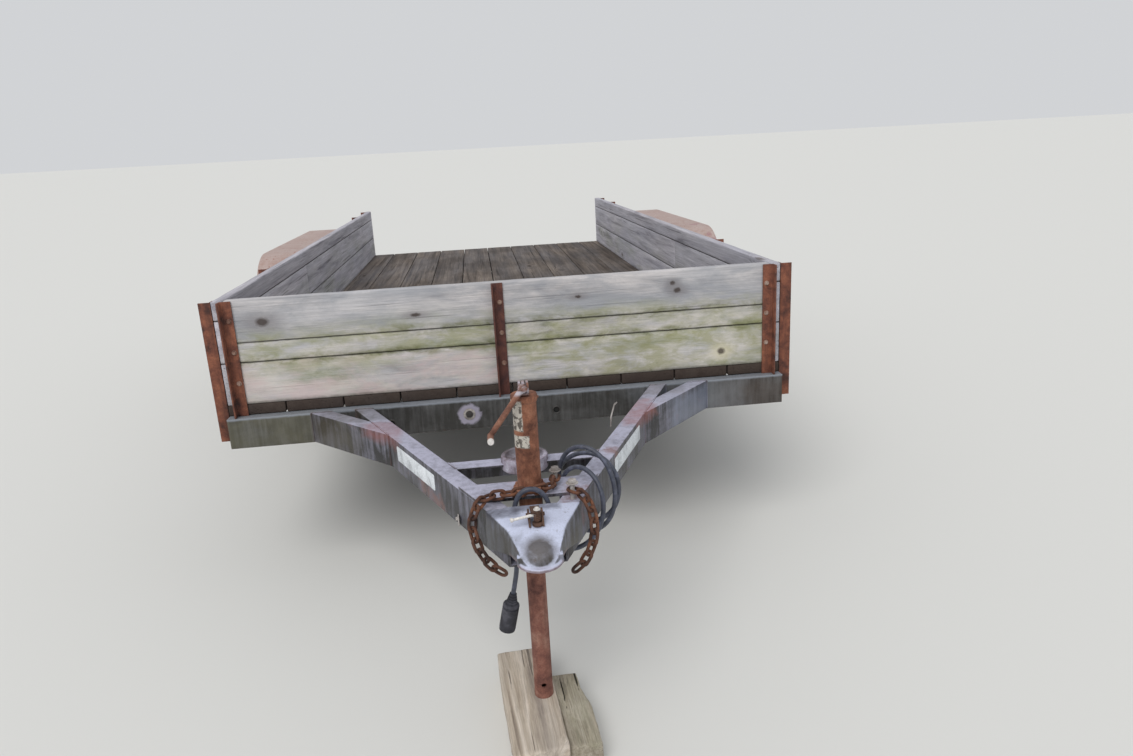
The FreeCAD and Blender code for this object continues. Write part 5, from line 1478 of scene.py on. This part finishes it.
# %% [markdown]
# ## Plug and sleeve
# The lead ends in a moulded round plug: a ribbed neck, a body with flat grips, and a hollow mouth; its
# raised key is not modelled. It hangs along the lead's last run. Where the lead leaves the drawbar there
# is a tapered rubber sleeve.

# %% Plug and sleeve
lead_end = Vector(lead_points[-1])
hang = (lead_end - Vector(lead_points[-2])).normalized()
hang_turn = hang.to_track_quat("Z", "Y").to_matrix().to_4x4()
neck_outline = [(0, 6.2), (0, 8.5)]
for i in range(4):
    start = 2 + i * 6.2
    reach = 9 + i * 1.4
    neck_outline += [(start, reach), (start + 3.4, reach + 0.6), (start + 3.8, reach - 1.2),
                     (start + 5.8, reach - 1)]
neck_outline += [(26.8, 14), (27.5, 17.5), (30, 19.8), (33, 20.5), (34.5, 20.5),
                 (35, 18), (39.5, 18), (40, 20.5), (96, 20.5), (97.5, 19.9),
                 (102.2, 19.9), (103, 19), (103, 17.6), (91, 17.2), (91, 0)]
plug_core = turned("plug_core", neck_outline, (0, 0, 0), "Z", steps=48, closed=False)
plug_parts = [plug_core]
for i in range(14):
    degrees = i * 360 / 14
    rib = slab("grip", (0.0192, -0.0016, 0.044), (0.02045, 0.0016, 0.082), edge=0.0005)
    plug_parts.append(place(rib, turning(degrees, "Z")))
contact = bar("contact", (0, 0, 0.09), (0, 0, 0.099), 0.0024, sides=12, edge=0.0004)
for i in range(7):
    reach = 0.0 if i == 6 else 0.0105
    spot = turning(60 * i, "Z") @ moved((reach, 0, 0))
    plug_parts.append(place(twin_of(contact), spot))
bpy.data.objects.remove(contact)
plug = joined(plug_parts, "plug_moulded")
place(plug, moved(lead_end) @ hang_turn)
done(plug, plug_black, ["cord_plug"], soft=32)
exit_point = Vector(lead_points[0])
inward = Vector((-math.cos(OUT), math.sin(OUT), 0))
sleeve_length = 1000 * (inner_x(exit_point.y) - exit_point.x) * math.cos(OUT)
sleeve_root = exit_point - inward * sleeve_length / 1000
sleeve_outline = [(-1, 0), (-1, 15), (1.5, 15), (2, 11.2)]
for i in range(3):
    start = 4 + i * (sleeve_length - 6) / 3
    reach = 10.8 - i * 1.2
    sleeve_outline += [(start, reach), (start + 2.2, reach), (start + 2.8, reach - 1.6)]
sleeve_outline += [(sleeve_length, 7.2), (sleeve_length, 0)]
sleeve = turned("sleeve", sleeve_outline, (0, 0, 0), "Z", steps=32, closed=False)
place(sleeve, moved(sleeve_root) @ inward.to_track_quat("Z", "Y").to_matrix().to_4x4())
done(sleeve, plug_black, ["cord_grommet"], soft=35)
print("plug faces:", len(plug.data.polygons))

# %% [markdown]
# ## Rubber and wheel paint
# Old rubber is not black: it greys, dust lies on it, and the tread keeps dried mud. Dirt on a wheel lies in
# rings, so these masks measure how far a point is from its axle. Both axles are found at once, since
# they lie the same way from the point midway between them.

# %% Finishes in rings round the axles
FRONT_WHEEL_Y = 0.561805
REAR_WHEEL_Y = 1.422833
WHEEL_X = 1.08
WHEEL_Z = 0.3665


def ring_mask(tree, start, full):
    """0 where a point is nearer its axle than start, rising to 1 at full."""
    here = tree.nodes.new("ShaderNodeTexCoord").outputs["Object"]
    split = add(tree, "SeparateXYZ", here).node.outputs
    off = add(tree, "Math SUBTRACT", split["Y"], (FRONT_WHEEL_Y + REAR_WHEEL_Y) / 2)
    off = add(tree, "Math ABSOLUTE", off)
    off = add(tree, "Math SUBTRACT", off, (REAR_WHEEL_Y - FRONT_WHEEL_Y) / 2)
    rise = add(tree, "Math SUBTRACT", split["Z"], WHEEL_Z)
    flat = add(tree, "CombineXYZ", off, rise)
    distance = add(tree, "VectorMath LENGTH", flat).node.outputs["Value"]
    wander = add(tree, "TexNoise", here, Scale=40, Detail=5, Roughness=0.65)
    wander = add(tree, "MapRange", wander, 0, 1, -0.01, 0.01)
    distance = add(tree, "Math ADD", distance, wander)
    return add(tree, "MapRange", distance, start, full)


def ringed(material, start, full, tone, share):
    """A coat in a ring about the axle."""
    over(material, ring_mask(material.node_tree, start, full), tone, share)


tyre_rubber = chalked_and_sky_lit("greyed tyre rubber", "#222223", "#4E4B47", "#3A342E", top=0.3, side=0.14, worn=0.2,
                      patches=0.25)
ringed(tyre_rubber, 0.35, 0.362, "#6A5F53", 0.42)
ringed(tyre_rubber, 0.235, 0.205, "#5B5048", 0.5)
# Rust creeps from the rim's well and from its beads.
ringed(rim_paint, 0.196, 0.203, "#74503C", 0.75)
ringed(rim_paint, 0.15, 0.164, "#8A6A52", 0.35)
ringed(rim_paint, 0.062, 0.05, "#5E4234", 0.8)
print("ring finishes:", tyre_rubber.name, rim_paint.name)

# %% [markdown]
# ## Tyres
# A 15-inch trailer tyre is 367 mm in radius on a 164 mm rim. Its outline is drawn from the middle of the
# tread to the bead, with four grooves in the tread and thin rings on the sidewall, then mirrored and
# spun. Sipes, the narrow cross cuts that clear water, start as tread edges that are bevelled to thin
# faces and sunk. All four tyres are copies of one.

# %% One tyre
WHEEL_STEPS = 96
# Distance from the tyre's middle, radius
half_tread = [(14, 366.4), (15.2, 359), (21.8, 359), (23, 366.3), (48, 366), (49.2, 358.8), (55.6, 358.8),
              (56.8, 365.6), (84, 364.2), (92, 361.2), (98.5, 356), (103.5, 351), (106.2, 344), (108, 336),
              (110.2, 329), (111.8, 328.4), (112.2, 324), (111.8, 322.6), (114.2, 314), (116, 302),
              (116.4, 290), (115.6, 277), (114.2, 269), (112.8, 268.4), (112.4, 265), (113.2, 264),
              (109, 248), (102.2, 235), (94, 223), (91.2, 217), (91.6, 213), (88, 210.4), (80, 208.8),
              (76.2, 206.2), (73.2, 196.2)]
inside = [(66, 199), (84, 222), (104, 262), (108, 304), (97, 338), (60, 350)]
tyre_outline = half_tread + inside
tyre_outline += [(-along, radius) for along, radius in reversed(tyre_outline)]
tyre = turned("tyre", tyre_outline, steps=WHEEL_STEPS)


def step_of(point):
    """Which of the wheel's steps a point is at, counted round the axle."""
    return round(math.atan2(point.z, point.y) / math.tau * WHEEL_STEPS) % WHEEL_STEPS


def step_of_face(face):
    """Which of the wheel's steps a face starts at."""
    middle = middle_of(face)
    return round(math.atan2(middle.z, middle.y) / math.tau * WHEEL_STEPS - 0.5)


def reach_of(face):
    """How far a face is from the axle."""
    return math.hypot(middle_of(face).y, middle_of(face).z)


def rib_of(point):
    """Tread rib of a point: 0 in the middle, then 1 and 2, with the side's sign. None off the tread."""
    if math.hypot(point.y, point.z) < 0.3635:
        return None
    out = abs(point.x)
    rib = 0 if out < 0.0146 else 1 if 0.0224 < out < 0.0486 else 2 if 0.0562 < out < 0.0846 else None
    return None if rib is None else int(math.copysign(rib, point.x))


# Rib, and at which steps of three it has a sipe
sipe_steps = {0: 0, 1: 1, -1: 2, 2: 0, -2: 1}


def is_sipe(edge):
    first, last = (corner.co for corner in edge.verts)
    rib = rib_of(middle_of(edge))
    if rib is None or rib_of(first) != rib or rib_of(last) != rib or abs(first.x - last.x) < 0.01:
        return False
    return step_of(middle_of(edge)) % 3 == sipe_steps[rib]


edit(tyre)
sipes = pick("EDGE", is_sipe)
round_edges(0.0014, 1)
sunk = pick("FACE", lambda face: rib_of(middle_of(face)) is not None and face.calc_area() < 0.00012
            and abs(face.normal.x) < 0.3 and math.hypot(face.normal.y, face.normal.z) > 0.9)
bpy.ops.mesh.extrude_region_shrink_fatten(TRANSFORM_OT_shrink_fatten={"value": -0.0055})
# Every other shoulder face sinks a little, which leaves the lugs.
lugs = pick("FACE", lambda face: 0.352 < reach_of(face) < 0.3625 and 0.09 < abs(middle_of(face).x) < 0.103
            and step_of_face(face) % 3 == 0)
bpy.ops.mesh.extrude_region_shrink_fatten(TRANSFORM_OT_shrink_fatten={"value": -0.0022})
leave_edit()
outward(tyre)
smooth(tyre, 32)
print("sipes:", sipes, "sunk:", sunk, "lug faces:", lugs, "tyre faces:", len(tyre.data.polygons))

# %% [markdown]
# ## Rims and hubs
# The rim is rolled from 4.5 mm sheet, with a well in its middle, and its disc is pressed with a raised
# ring and bolted over the hub's pilot. The hub has a flange with five studs, lug nuts with rounded
# crowns, and a pressed grease cap over its bearing. A rubber valve stands in the well's wall.

# %% One rim with its valve
half_rim = [(30, 166), (33.2, 166.6), (36.2, 169.5), (42.8, 190.5), (45.2, 192.6), (49, 193), (70.5, 195.5),
            (74, 196.2), (76, 198.8), (76.8, 202.8), (77.8, 205), (79.5, 205.9), (81.2, 205.2),
            (81.9, 203.2)]
half_air_side = [(80.8, 197.5), (79, 193.5), (75, 191.2), (42.5, 188.8), (39.2, 187.2), (32.2, 164.2),
                 (29.6, 161.6)]
disc = [(-3, 161.6), (-1.2, 159), (17.8, 129), (19.6, 125), (20.4, 119), (21.6, 113), (21.7, 106), (20, 99),
        (18.8, 93), (18.8, 48), (20, 45.2), (20, 43.2), (18.8, 42.1), (14, 42.1), (14, 123), (-9.5, 161.6)]
rim_outline = half_rim + half_air_side + disc
rim_outline += [(-along, radius) for along, radius in reversed(half_air_side)]
rim_outline += [(-along, radius) for along, radius in reversed(half_rim)]
rim = turned("rim", rim_outline, steps=WHEEL_STEPS)
edit(rim)
# Eight pressed pockets in the disc's slope, each two faces long
pockets = pick("FACE", lambda face: 0.135 < reach_of(face) < 0.152 and 0.001 < middle_of(face).x < 0.017
               and face.normal.x > 0.2 and step_of_face(face) % 12 < 5)
bpy.ops.mesh.inset(thickness=0.0035, depth=-0.0022)
bpy.ops.mesh.inset(thickness=0.0012, depth=-0.0006)
leave_edit()
valve = bar("valve", (0.028, 0, 0.158), (0.046, 0, 0.15), 0.0042, sides=16)
valve_cap = bar("valve_cap", (0.045, 0, 0.1505), (0.055, 0, 0.146), 0.0046, sides=12, edge=0.001)
balance = slab("balance_weight", (0.0745, -0.018, 0.1885), (0.0795, 0.018, 0.1925), edge=0.0012)
rim = joined([rim, balance], "rim")
smooth(rim, 32)
valve = joined([valve, valve_cap], "valve")
smooth(valve, 35)
print("pocket faces:", pockets, "rim faces:", len(rim.data.polygons))

# %% One hub with its nuts and cap
hub_outline = [(75.8, 0), (75.8, 15), (75.2, 18.5), (72.8, 23.5), (70, 27.2), (67.2, 28.8), (64, 29),
               (42, 29.2), (40, 30), (39, 32.5), (37, 34), (35.5, 37.2), (33, 38.5), (15, 41), (14, 41),
               (14, 71.2), (13.2, 72), (2.8, 72), (2, 71.2), (2, 42), (-2, 39), (-8, 38), (-56, 38),
               (-60, 37.2), (-62, 35), (-62, 17.6), (53, 17.6), (53, 0)]
hub = turned("hub", hub_outline, steps=64, closed=False)
hub_parts = [hub]
for i in range(5):
    angle = math.radians(90 + 72 * i)
    spot = Vector((0, math.cos(angle), math.sin(angle))) * 0.057
    seat = bar("nut_seat", spot + Vector((0.019, 0, 0)), spot + Vector((0.0232, 0, 0)), 0.0098, sides=24,
               edge=0, tip=0.012)
    nut = bar("lug_nut", spot + Vector((0.0228, 0, 0)), spot + Vector((0.035, 0, 0)), 0.012, sides=6,
              edge=0)
    edit(nut)
    pick("FACE", lambda face: face.normal.x > 0.9)
    bpy.ops.mesh.inset(thickness=0.0018)
    nudge((0.0014, 0, 0))
    bpy.ops.mesh.inset(thickness=0.0016)
    leave_edit()
    stud = bar("stud", spot + Vector((0.012, 0, 0)), spot + Vector((0.0415, 0, 0)), 0.0061, sides=20,
               edge=0.0011)
    hub_parts += [seat, nut, stud]
hub = joined(hub_parts, "hub")
smooth(hub, 32)
print("hub faces:", len(hub.data.polygons))

# %% [markdown]
# ## The four wheels
# Each wheel is the same three pieces at its axle end. A wheel on the left is turned half round, so its
# disc faces out as well. Every wheel stops at its own angle, but the studs stay where the solids
# have them, so all the wheels are turned by whole fifths.

# %% Wheels at their hubs
# Axle end in the room, and how many fifths its wheel is turned
wheels = [("front", FRONT_WHEEL_Y, 0, 2), ("rear", REAR_WHEEL_Y, 1, 4)]
for end, y, right_turn, left_turn in wheels:
    for side_name, side, fifths in (("right", 1, right_turn), ("left", -1, left_turn)):
        body = "wheel_" + end + "_" + side_name
        at_hub = moved((side * WHEEL_X, y, WHEEL_Z))
        if side < 0:
            at_hub = at_hub @ turning(180, "Z")
        at_hub = at_hub @ Matrix.Rotation(math.tau / 5 * fifths, 4, "X")
        for pattern, slot, finish, node in (
                (tyre, "tyre_rubber", tyre_rubber, "tyre_"), (rim, "rim_paint", rim_paint, "rim_"),
                (hub, "hub_steel", dark_rust, "hub_"), (valve, "tyre_rubber", tyre_rubber, None)):
            twin = copied(pattern.copy(), [at_hub], pattern.name + "_" + end + "_" + side_name)
            stands_for = [node + end + "_" + side_name] if node else []
            done(twin, finish, stands_for, body=body, park=False)
for pattern in (tyre, rim, hub, valve):
    bpy.data.objects.remove(pattern)
print("wheels:", 4)

# %% [markdown]
# ## Leaf springs
# Each spring has three leaves, 44 mm wide, that lie on one another: the main leaf ends in an eye
# at each end, and the two below are shorter. A leaf is a line of points extruded across, then given its
# thickness. Clips hold the leaves in line; the centre bolt that keeps the pack on its axle is not modelled.

# %% Leaf springs
AXLE_Y = 2.520026
SPRING_X = 0.9185
SPRING_HALF = 0.32
SPRING_WIDTH = 0.044
EYE_Z = -0.175
AXLE_OFF = 0.43   # from the point midway between the axles to either
ROCK = AXLE_OFF * math.tan(PITCH)
LEAF = 0.006
SPINDLE_Z = -0.13366
AXLE_DROP = 0.122
TUBE_RADIUS = 0.03
SEAT_STACK = 0.021


def sheet(name, path, low_x, high_x, thickness, edge=0.0008):
    """A bent strip: a path of (y, z) extruded from low_x to high_x, with a thickness on its left."""
    piece = drawn(name, [(low_x, y, z) for y, z in path])
    pick_all()
    pull((high_x - low_x, 0, 0))
    leave_edit()
    modify(piece, "SOLIDIFY", thickness=thickness, offset=0, use_even_offset=True)
    outward(piece)
    if edge:
        modify(piece, "BEVEL", width=edge, segments=2, limit_method="ANGLE", angle_limit=math.radians(50))
    return piece


def mirrored(piece, name):
    """A copy of a right-hand piece for the left side."""
    return outward(copied(piece.copy(), [flip], name))


def eyes(end):
    """Heights of a spring's eyes, front then rear."""
    return (EYE_Z, EYE_Z - 2 * ROCK) if end < 0 else (EYE_Z + 2 * ROCK, EYE_Z)


def leaf_middle(end, share):
    """Height of the main leaf's middle line at a share of its half length."""
    front_eye, rear_eye = eyes(end)
    chord = front_eye + (rear_eye - front_eye) * (share + 1) / 2
    return chord + (seat_height(end) - (front_eye + rear_eye) / 2) * (1 - share * share)


def seat_height(end):
    """Middle line of the main leaf over the axle."""
    return SPINDLE_Z + end * ROCK - AXLE_DROP + TUBE_RADIUS + SEAT_STACK


eye_outline = [(-22, 7.4), (-22, 12.8), (-21.2, 13.8), (21.2, 13.8), (22, 12.8), (22, 7.4)]
spring_pieces = []
clip_pieces = []
for end in (-1, 1):
    middle_y = AXLE_Y + end * AXLE_OFF
    for level, reach in enumerate((0.965, 0.7, 0.4)):
        shares = [reach * (i / 8 - 1) for i in range(17)]
        path = [(middle_y + share * SPRING_HALF, leaf_middle(end, share) - level * LEAF)
                for share in shares]
        leaf = sheet("leaf", path, SPRING_X - SPRING_WIDTH / 2, SPRING_X + SPRING_WIDTH / 2, 0.0056)
        spring_pieces.append(leaf)
    for side, eye_z in zip((-1, 1), eyes(end)):
        spot = (SPRING_X, middle_y + side * SPRING_HALF, eye_z)
        spring_pieces.append(turned("eye", eye_outline, spot, steps=32))
    for share in (-0.55, 0.55):
        z = leaf_middle(end, share)
        slope = math.atan2(leaf_middle(end, share + 0.05) - leaf_middle(end, share - 0.05),
                           0.1 * SPRING_HALF)
        lean = moved((SPRING_X, middle_y + share * SPRING_HALF, z)) @ Matrix.Rotation(slope, 4, "X")
        for low, high in (((-0.026, -0.01, -0.0125), (-0.0222, 0.01, 0.0062)),
                          ((0.0222, -0.01, -0.0125), (0.026, 0.01, 0.0062)),
                          ((-0.026, -0.01, -0.0125), (0.026, 0.01, -0.0092))):
            clip_pieces.append(place(slab("clip", low, high, edge=0.001), lean))
        clip_pieces.append(place(bar("clip_bolt", (-0.03, 0, 0.0048), (0.03, 0, 0.0048), 0.003), lean))
right_springs = joined(spring_pieces + clip_pieces, "springs_right_leaves")
smooth(right_springs, 35)
left_springs = mirrored(right_springs, "springs_left_leaves")
for springs, node in ((right_springs, "springs_right"), (left_springs, "springs_left")):
    done(springs, dark_rust, [node])
print("spring faces:", len(right_springs.data.polygons))

# %% [markdown]
# ## Hangers, equalisers and clamps
# Plates hang the spring eyes from the rail, a rocker joins the two springs of a side, and U-bolts clamp
# each spring to its axle. Their plates are laser-cut, with edges barely broken. What makes them read as
# machinery is the hardware: nuts on every U-bolt end, heads and nuts on every pin, and grease nipples.

# %% Plates with broken edges
for node, radius in (("hangers_right", 0.001), ("hangers_left", 0.001), ("equaliser_right", 0.0012),
                     ("equaliser_left", 0.0012), ("axle_clamps_right", 0.0008),
                     ("axle_clamps_left", 0.0008)):
    done(softened(node, node + "_steel", radius, rounds=2), dark_rust, [node])
print("plates softened")

# %% Nuts, heads and grease nipples
looks_left = turning(-90, "Y")
looks_down = turning(180, "X")
hanger_reach = 0.029
marks = []
for y in (AXLE_Y - 0.75, AXLE_Y, AXLE_Y + 0.75):
    marks.append(moved((SPRING_X + hanger_reach, y, EYE_Z)) @ looks_right)
    marks.append(moved((SPRING_X - hanger_reach, y, EYE_Z)) @ looks_left)
for step in (-1, 1):
    far = Vector((0, AXLE_Y + step * 0.11, EYE_Z + step * 2 * ROCK))
    middle = Vector((0, AXLE_Y, EYE_Z)).lerp(far, 0.62)
    for spot in (far, middle):
        for side, looks in ((1, looks_right), (-1, looks_left)):
            marks.append(moved((SPRING_X + side * hanger_reach, spot.y, spot.z)) @ looks)
pin_heads = copied(bolt_head("pin_head", across=0.0105, height=0.0042, washer=0.012), marks, "pin_heads")
marks = []
for end in (-1, 1):
    beam_z = SPINDLE_Z + end * ROCK - AXLE_DROP
    for step in (-0.046, 0.046):
        for x in (-0.03, 0.03):
            spot = (SPRING_X + x, AXLE_Y + end * AXLE_OFF + step, beam_z - 0.0393)
            marks.append(moved(spot) @ looks_down)
u_bolt_nuts = copied(bolt_head("u_bolt_nut", across=0.01, height=0.008, washer=0.0122), marks, "nuts")
marks = [moved((SPRING_X + 0.0355, y, EYE_Z)) for y in (AXLE_Y - 0.75, AXLE_Y, AXLE_Y + 0.75)]
nipple_outline = [(0, 0), (0, 2.8), (2.2, 2.8), (2.8, 1.6), (4, 2), (4.6, 1.8), (5, 0)]
nipple = turned("nipple", nipple_outline, steps=16, closed=False)
nipples = copied(nipple, marks, "nipples")
hardware = joined([pin_heads, u_bolt_nuts, nipples], "running_gear_hardware")
smooth(hardware, 30)
for piece in (hardware, mirrored(hardware, "running_gear_hardware_left")):
    done(piece, bolt_steel)
print("hardware faces:", len(hardware.data.polygons))

# %% [markdown]
# ## Axles
# The beam hangs below the spindles on an upright arm at each end. A fillet weld runs round the beam and
# round the spindle's root. The solids have the right form, so their copies get soft edges, and the welds
# are rows of the same scales, turned in a ring.

# %% Axles with ring welds
def ring_weld(middle, radius, count):
    """Weld scales in a ring about the X axis."""
    scale = ball(0.0042, 10, 6, flat=(1.0, 0.62, 0.9))
    marks = [moved(middle) @ Matrix.Rotation(math.tau * i / count, 4, "X")
             @ moved((0, 0, radius)) for i in range(count)]
    return copied(scale, marks, "ring_weld")


for end, node in ((-1, "axle_front"), (1, "axle_rear")):
    y = AXLE_Y + end * AXLE_OFF
    spindle_z = SPINDLE_Z + end * ROCK
    beam = softened(node, node + "_beam", 0.0025)
    done(beam, axle_paint, [node])
    welds = []
    for side in (1, -1):
        welds.append(ring_weld((side * 0.9495, y, spindle_z - AXLE_DROP), 0.03, 40))
        welds.append(ring_weld((side * 0.9785, y, spindle_z), 0.0172, 26))
    welds = joined(welds, node + "_welds")
    done(welds, axle_paint, soft=60)
print("axles done")

# %% [markdown]
# ## Fenders
# Each fender is one bent sheet over both wheels: a flat top, rounded corners and two steep ends, with an
# outer lip. Its long outer edge is bent, not cut, so it is round. The lip's own edge is rolled
# over a wire, which stiffens it, and bolts hold the back sheet to the planks.

# %% Fender sheet with a rolled edge
FENDER_TOP = 0.338
FENDER_FOOT = -0.02
FENDER_CORNER = 0.28
FENDER_LIP = 0.042
FENDER_X = 1.215
FENDER_FRONT = AXLE_Y - 0.915
FENDER_REAR = AXLE_Y + 0.915


def arch(inset, foot):
    """The fender's side view as (y, z) points, from its front foot over the top to its rear foot."""
    radius = FENDER_CORNER - inset
    points = [(FENDER_FRONT + inset, foot)]
    for middle_y, first in ((FENDER_FRONT + FENDER_CORNER, 180), (FENDER_REAR - FENDER_CORNER, 90)):
        for i in range(13):
            angle = math.radians(first - 7.5 * i)
            points.append((middle_y + radius * math.cos(angle),
                           FENDER_TOP - FENDER_CORNER + radius * math.sin(angle)))
    return points + [(FENDER_REAR - inset, foot)]


def wire(name, path, radius):
    """A round wire along a path of points."""
    line = drawn(name, path)
    leave_edit()
    bpy.ops.object.convert(target="CURVE")
    line.data.bevel_depth = radius
    line.data.bevel_resolution = 3
    line.data.use_fill_caps = True
    bpy.ops.object.convert(target="MESH")
    return bpy.context.object


arch_middle = Vector((0, AXLE_Y, 0))
fender = carried_over("fender_right", "fender_right_sheet")
edit(fender)


def is_bent_edge(edge):
    """Outer edge between the band and the lip."""
    middle = middle_of(edge)
    if len(edge.link_faces) != 2 or middle.x < FENDER_X - 0.0004 or middle.z < FENDER_FOOT + 0.001:
        return False
    flats = [face for face in edge.link_faces if abs(face.normal.x) > 0.9]
    bands = [face for face in edge.link_faces if abs(face.normal.x) < 0.1]
    return len(flats) == 1 and len(bands) == 1 and bands[0].normal.dot(middle - arch_middle) > 0


bent = pick("EDGE", is_bent_edge)
round_edges(0.005, 4)
leave_edit()
modify(fender, "BEVEL", width=0.0007, segments=2, limit_method="ANGLE", angle_limit=math.radians(50))
lip_path = [(FENDER_X - 0.0033, y, z) for y, z in arch(FENDER_LIP - 0.001, FENDER_FOOT)]
rolled = wire("rolled_edge", lip_path, 0.0031)
marks = []
for y in (FENDER_FRONT + 0.16, AXLE_Y - 0.4, AXLE_Y, AXLE_Y + 0.4, FENDER_REAR - 0.16):
    marks.append(moved((0.9428, y, 0.215)) @ looks_right)
back_bolts = copied(bolt_head("back_bolt", across=0.0078, height=0.005, washer=0.0125), marks, "back_bolts")
fender = joined([fender, rolled, back_bolts], "fender_right_worn")
smooth(fender, 32)
for piece, node in ((mirrored(fender, "fender_left_worn"), "fender_left"), (fender, "fender_right")):
    done(piece, fender_paint, [node])
print("bent edges:", bent, "fender faces:", len(fender.data.polygons))

# %% [markdown]
# ## Rear lamps
# A round lamp stands on the rear crossmember at each side: a black rubber base and a domed red lens with
# moulded rings, held by two screws. They are not in the photograph, and are of the common kind.

# %% Lens finish and lamps
lens_red, tree, shader = started("red lens plastic")
place_now = along_trailer(tree)
dust = add(tree, "TexNoise", place_now, Scale=45, Detail=6, Roughness=0.65)
lens_tone = add(tree, "ValToRGB", dust, stops=[(0.4, "#8E1A14"), (0.58, "#A52C22"), (0.78, "#8A5A50")])
lens_rough = add(tree, "MapRange", dust, 0.4, 0.7, 0.18, 0.6)
dressed(tree, shader, lens_tone, lens_rough, dust, 0.0002)
shader.inputs["Coat Weight"].default_value = 0.3
LAMP_X = 0.8
LAMP_DROP = -0.051
base_outline = [(0, 0), (0, 48.5), (1.5, 50), (18, 50), (21.2, 48.8), (22, 46.5), (22, 43.6), (19.8, 43),
                (19.8, 0)]
lens_outline = [(20, 0), (20, 42.8), (29, 42.8), (32, 42.1), (34.4, 40.2), (36.2, 37), (35.6, 36.2),
                (37.6, 33), (37, 32.2), (39, 28), (38.4, 27.2), (40.2, 22), (39.6, 21.2), (41.2, 13),
                (41.8, 0)]
for side, name in ((1, "right"), (-1, "left")):
    spot = (side * LAMP_X, BED_REAR, LAMP_DROP)
    base = turned("lamp_base", base_outline, spot, "Y", steps=56, closed=False)
    done(base, plug_black, soft=35)
    lens = turned("lamp_lens", lens_outline, spot, "Y", steps=56, closed=False)
    done(lens, lens_red, ["rear_lamp_" + name], soft=35)
    screws = [bar("lens_screw", (side * LAMP_X + x, 4.1505, LAMP_DROP),
                  (side * LAMP_X + x, 4.1535, LAMP_DROP), 0.0036, sides=16, edge=0.0008)
              for x in (-0.03, 0.03)]
    screws = joined(screws, "lens_screws_" + name)
    done(screws, bolt_steel, soft=35)
print("lamps: 2")

# %% [markdown]
# ## Floor and light
# A wide pale floor takes the shadow. The sky lights from all sides, as on an overcast day, and a large
# soft lamp high in front gives the faces their form, at a level where a colour looks as it was written.

# %% Floor, sky and lamp
bpy.ops.mesh.primitive_plane_add(size=60, location=(0, 0, 0))
floor = bpy.context.object
floor.name = "studio_floor"
floor_finish, tree, shader = started("pale studio floor")
shader.inputs["Base Color"].default_value = ink("#D9D9D6")
shader.inputs["Roughness"].default_value = 0.9
shader.inputs["Specular IOR Level"].default_value = 0.1
floor.data.materials.append(floor_finish)
world = bpy.data.worlds.new("soft sky")
bpy.context.scene.world = world
world.use_nodes = True
sky = world.node_tree.nodes["Background"]
sky.inputs["Color"].default_value = ink("#F2F4F7")
sky.inputs["Strength"].default_value = 0.72
lamp_data = bpy.data.lights.new("soft lamp", "SUN")
lamp_data.energy = 1.55
lamp_data.angle = math.radians(38)
lamp_data.color = (1.0, 0.98, 0.95)
lamp = bpy.data.objects.new("soft lamp", lamp_data)
bpy.context.scene.collection.objects.link(lamp)
lamp.rotation_euler = (math.radians(38), math.radians(-14), math.radians(-10))
bpy.context.scene.view_settings.view_transform = "Standard"
print("stage ready")

# %% [markdown]
# ## The lead is handed over
# The lead rides on the trailer: it gets its rubber jacket, and the solid cord that it stands for is hidden.

jacket, tree, shader = started("slate rubber jacket")
place_now = tree.nodes.new("ShaderNodeTexCoord").outputs["Object"]
dust = add(tree, "TexNoise", place_now, Scale=60, Detail=6, Roughness=0.6)
tone = add(tree, "ValToRGB", dust, stops=[(0.3, "#2E313B"), (0.55, "#484C5A"), (0.78, "#70748A")])
dressed(tree, shader, tone, add(tree, "MapRange", dust, 0, 1, 0.34, 0.62), dust, 0.0004)
lead_data.materials.append(jacket)
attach(lead, "trailer")
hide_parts("cord")
print("pieces handed over:", piece_count)
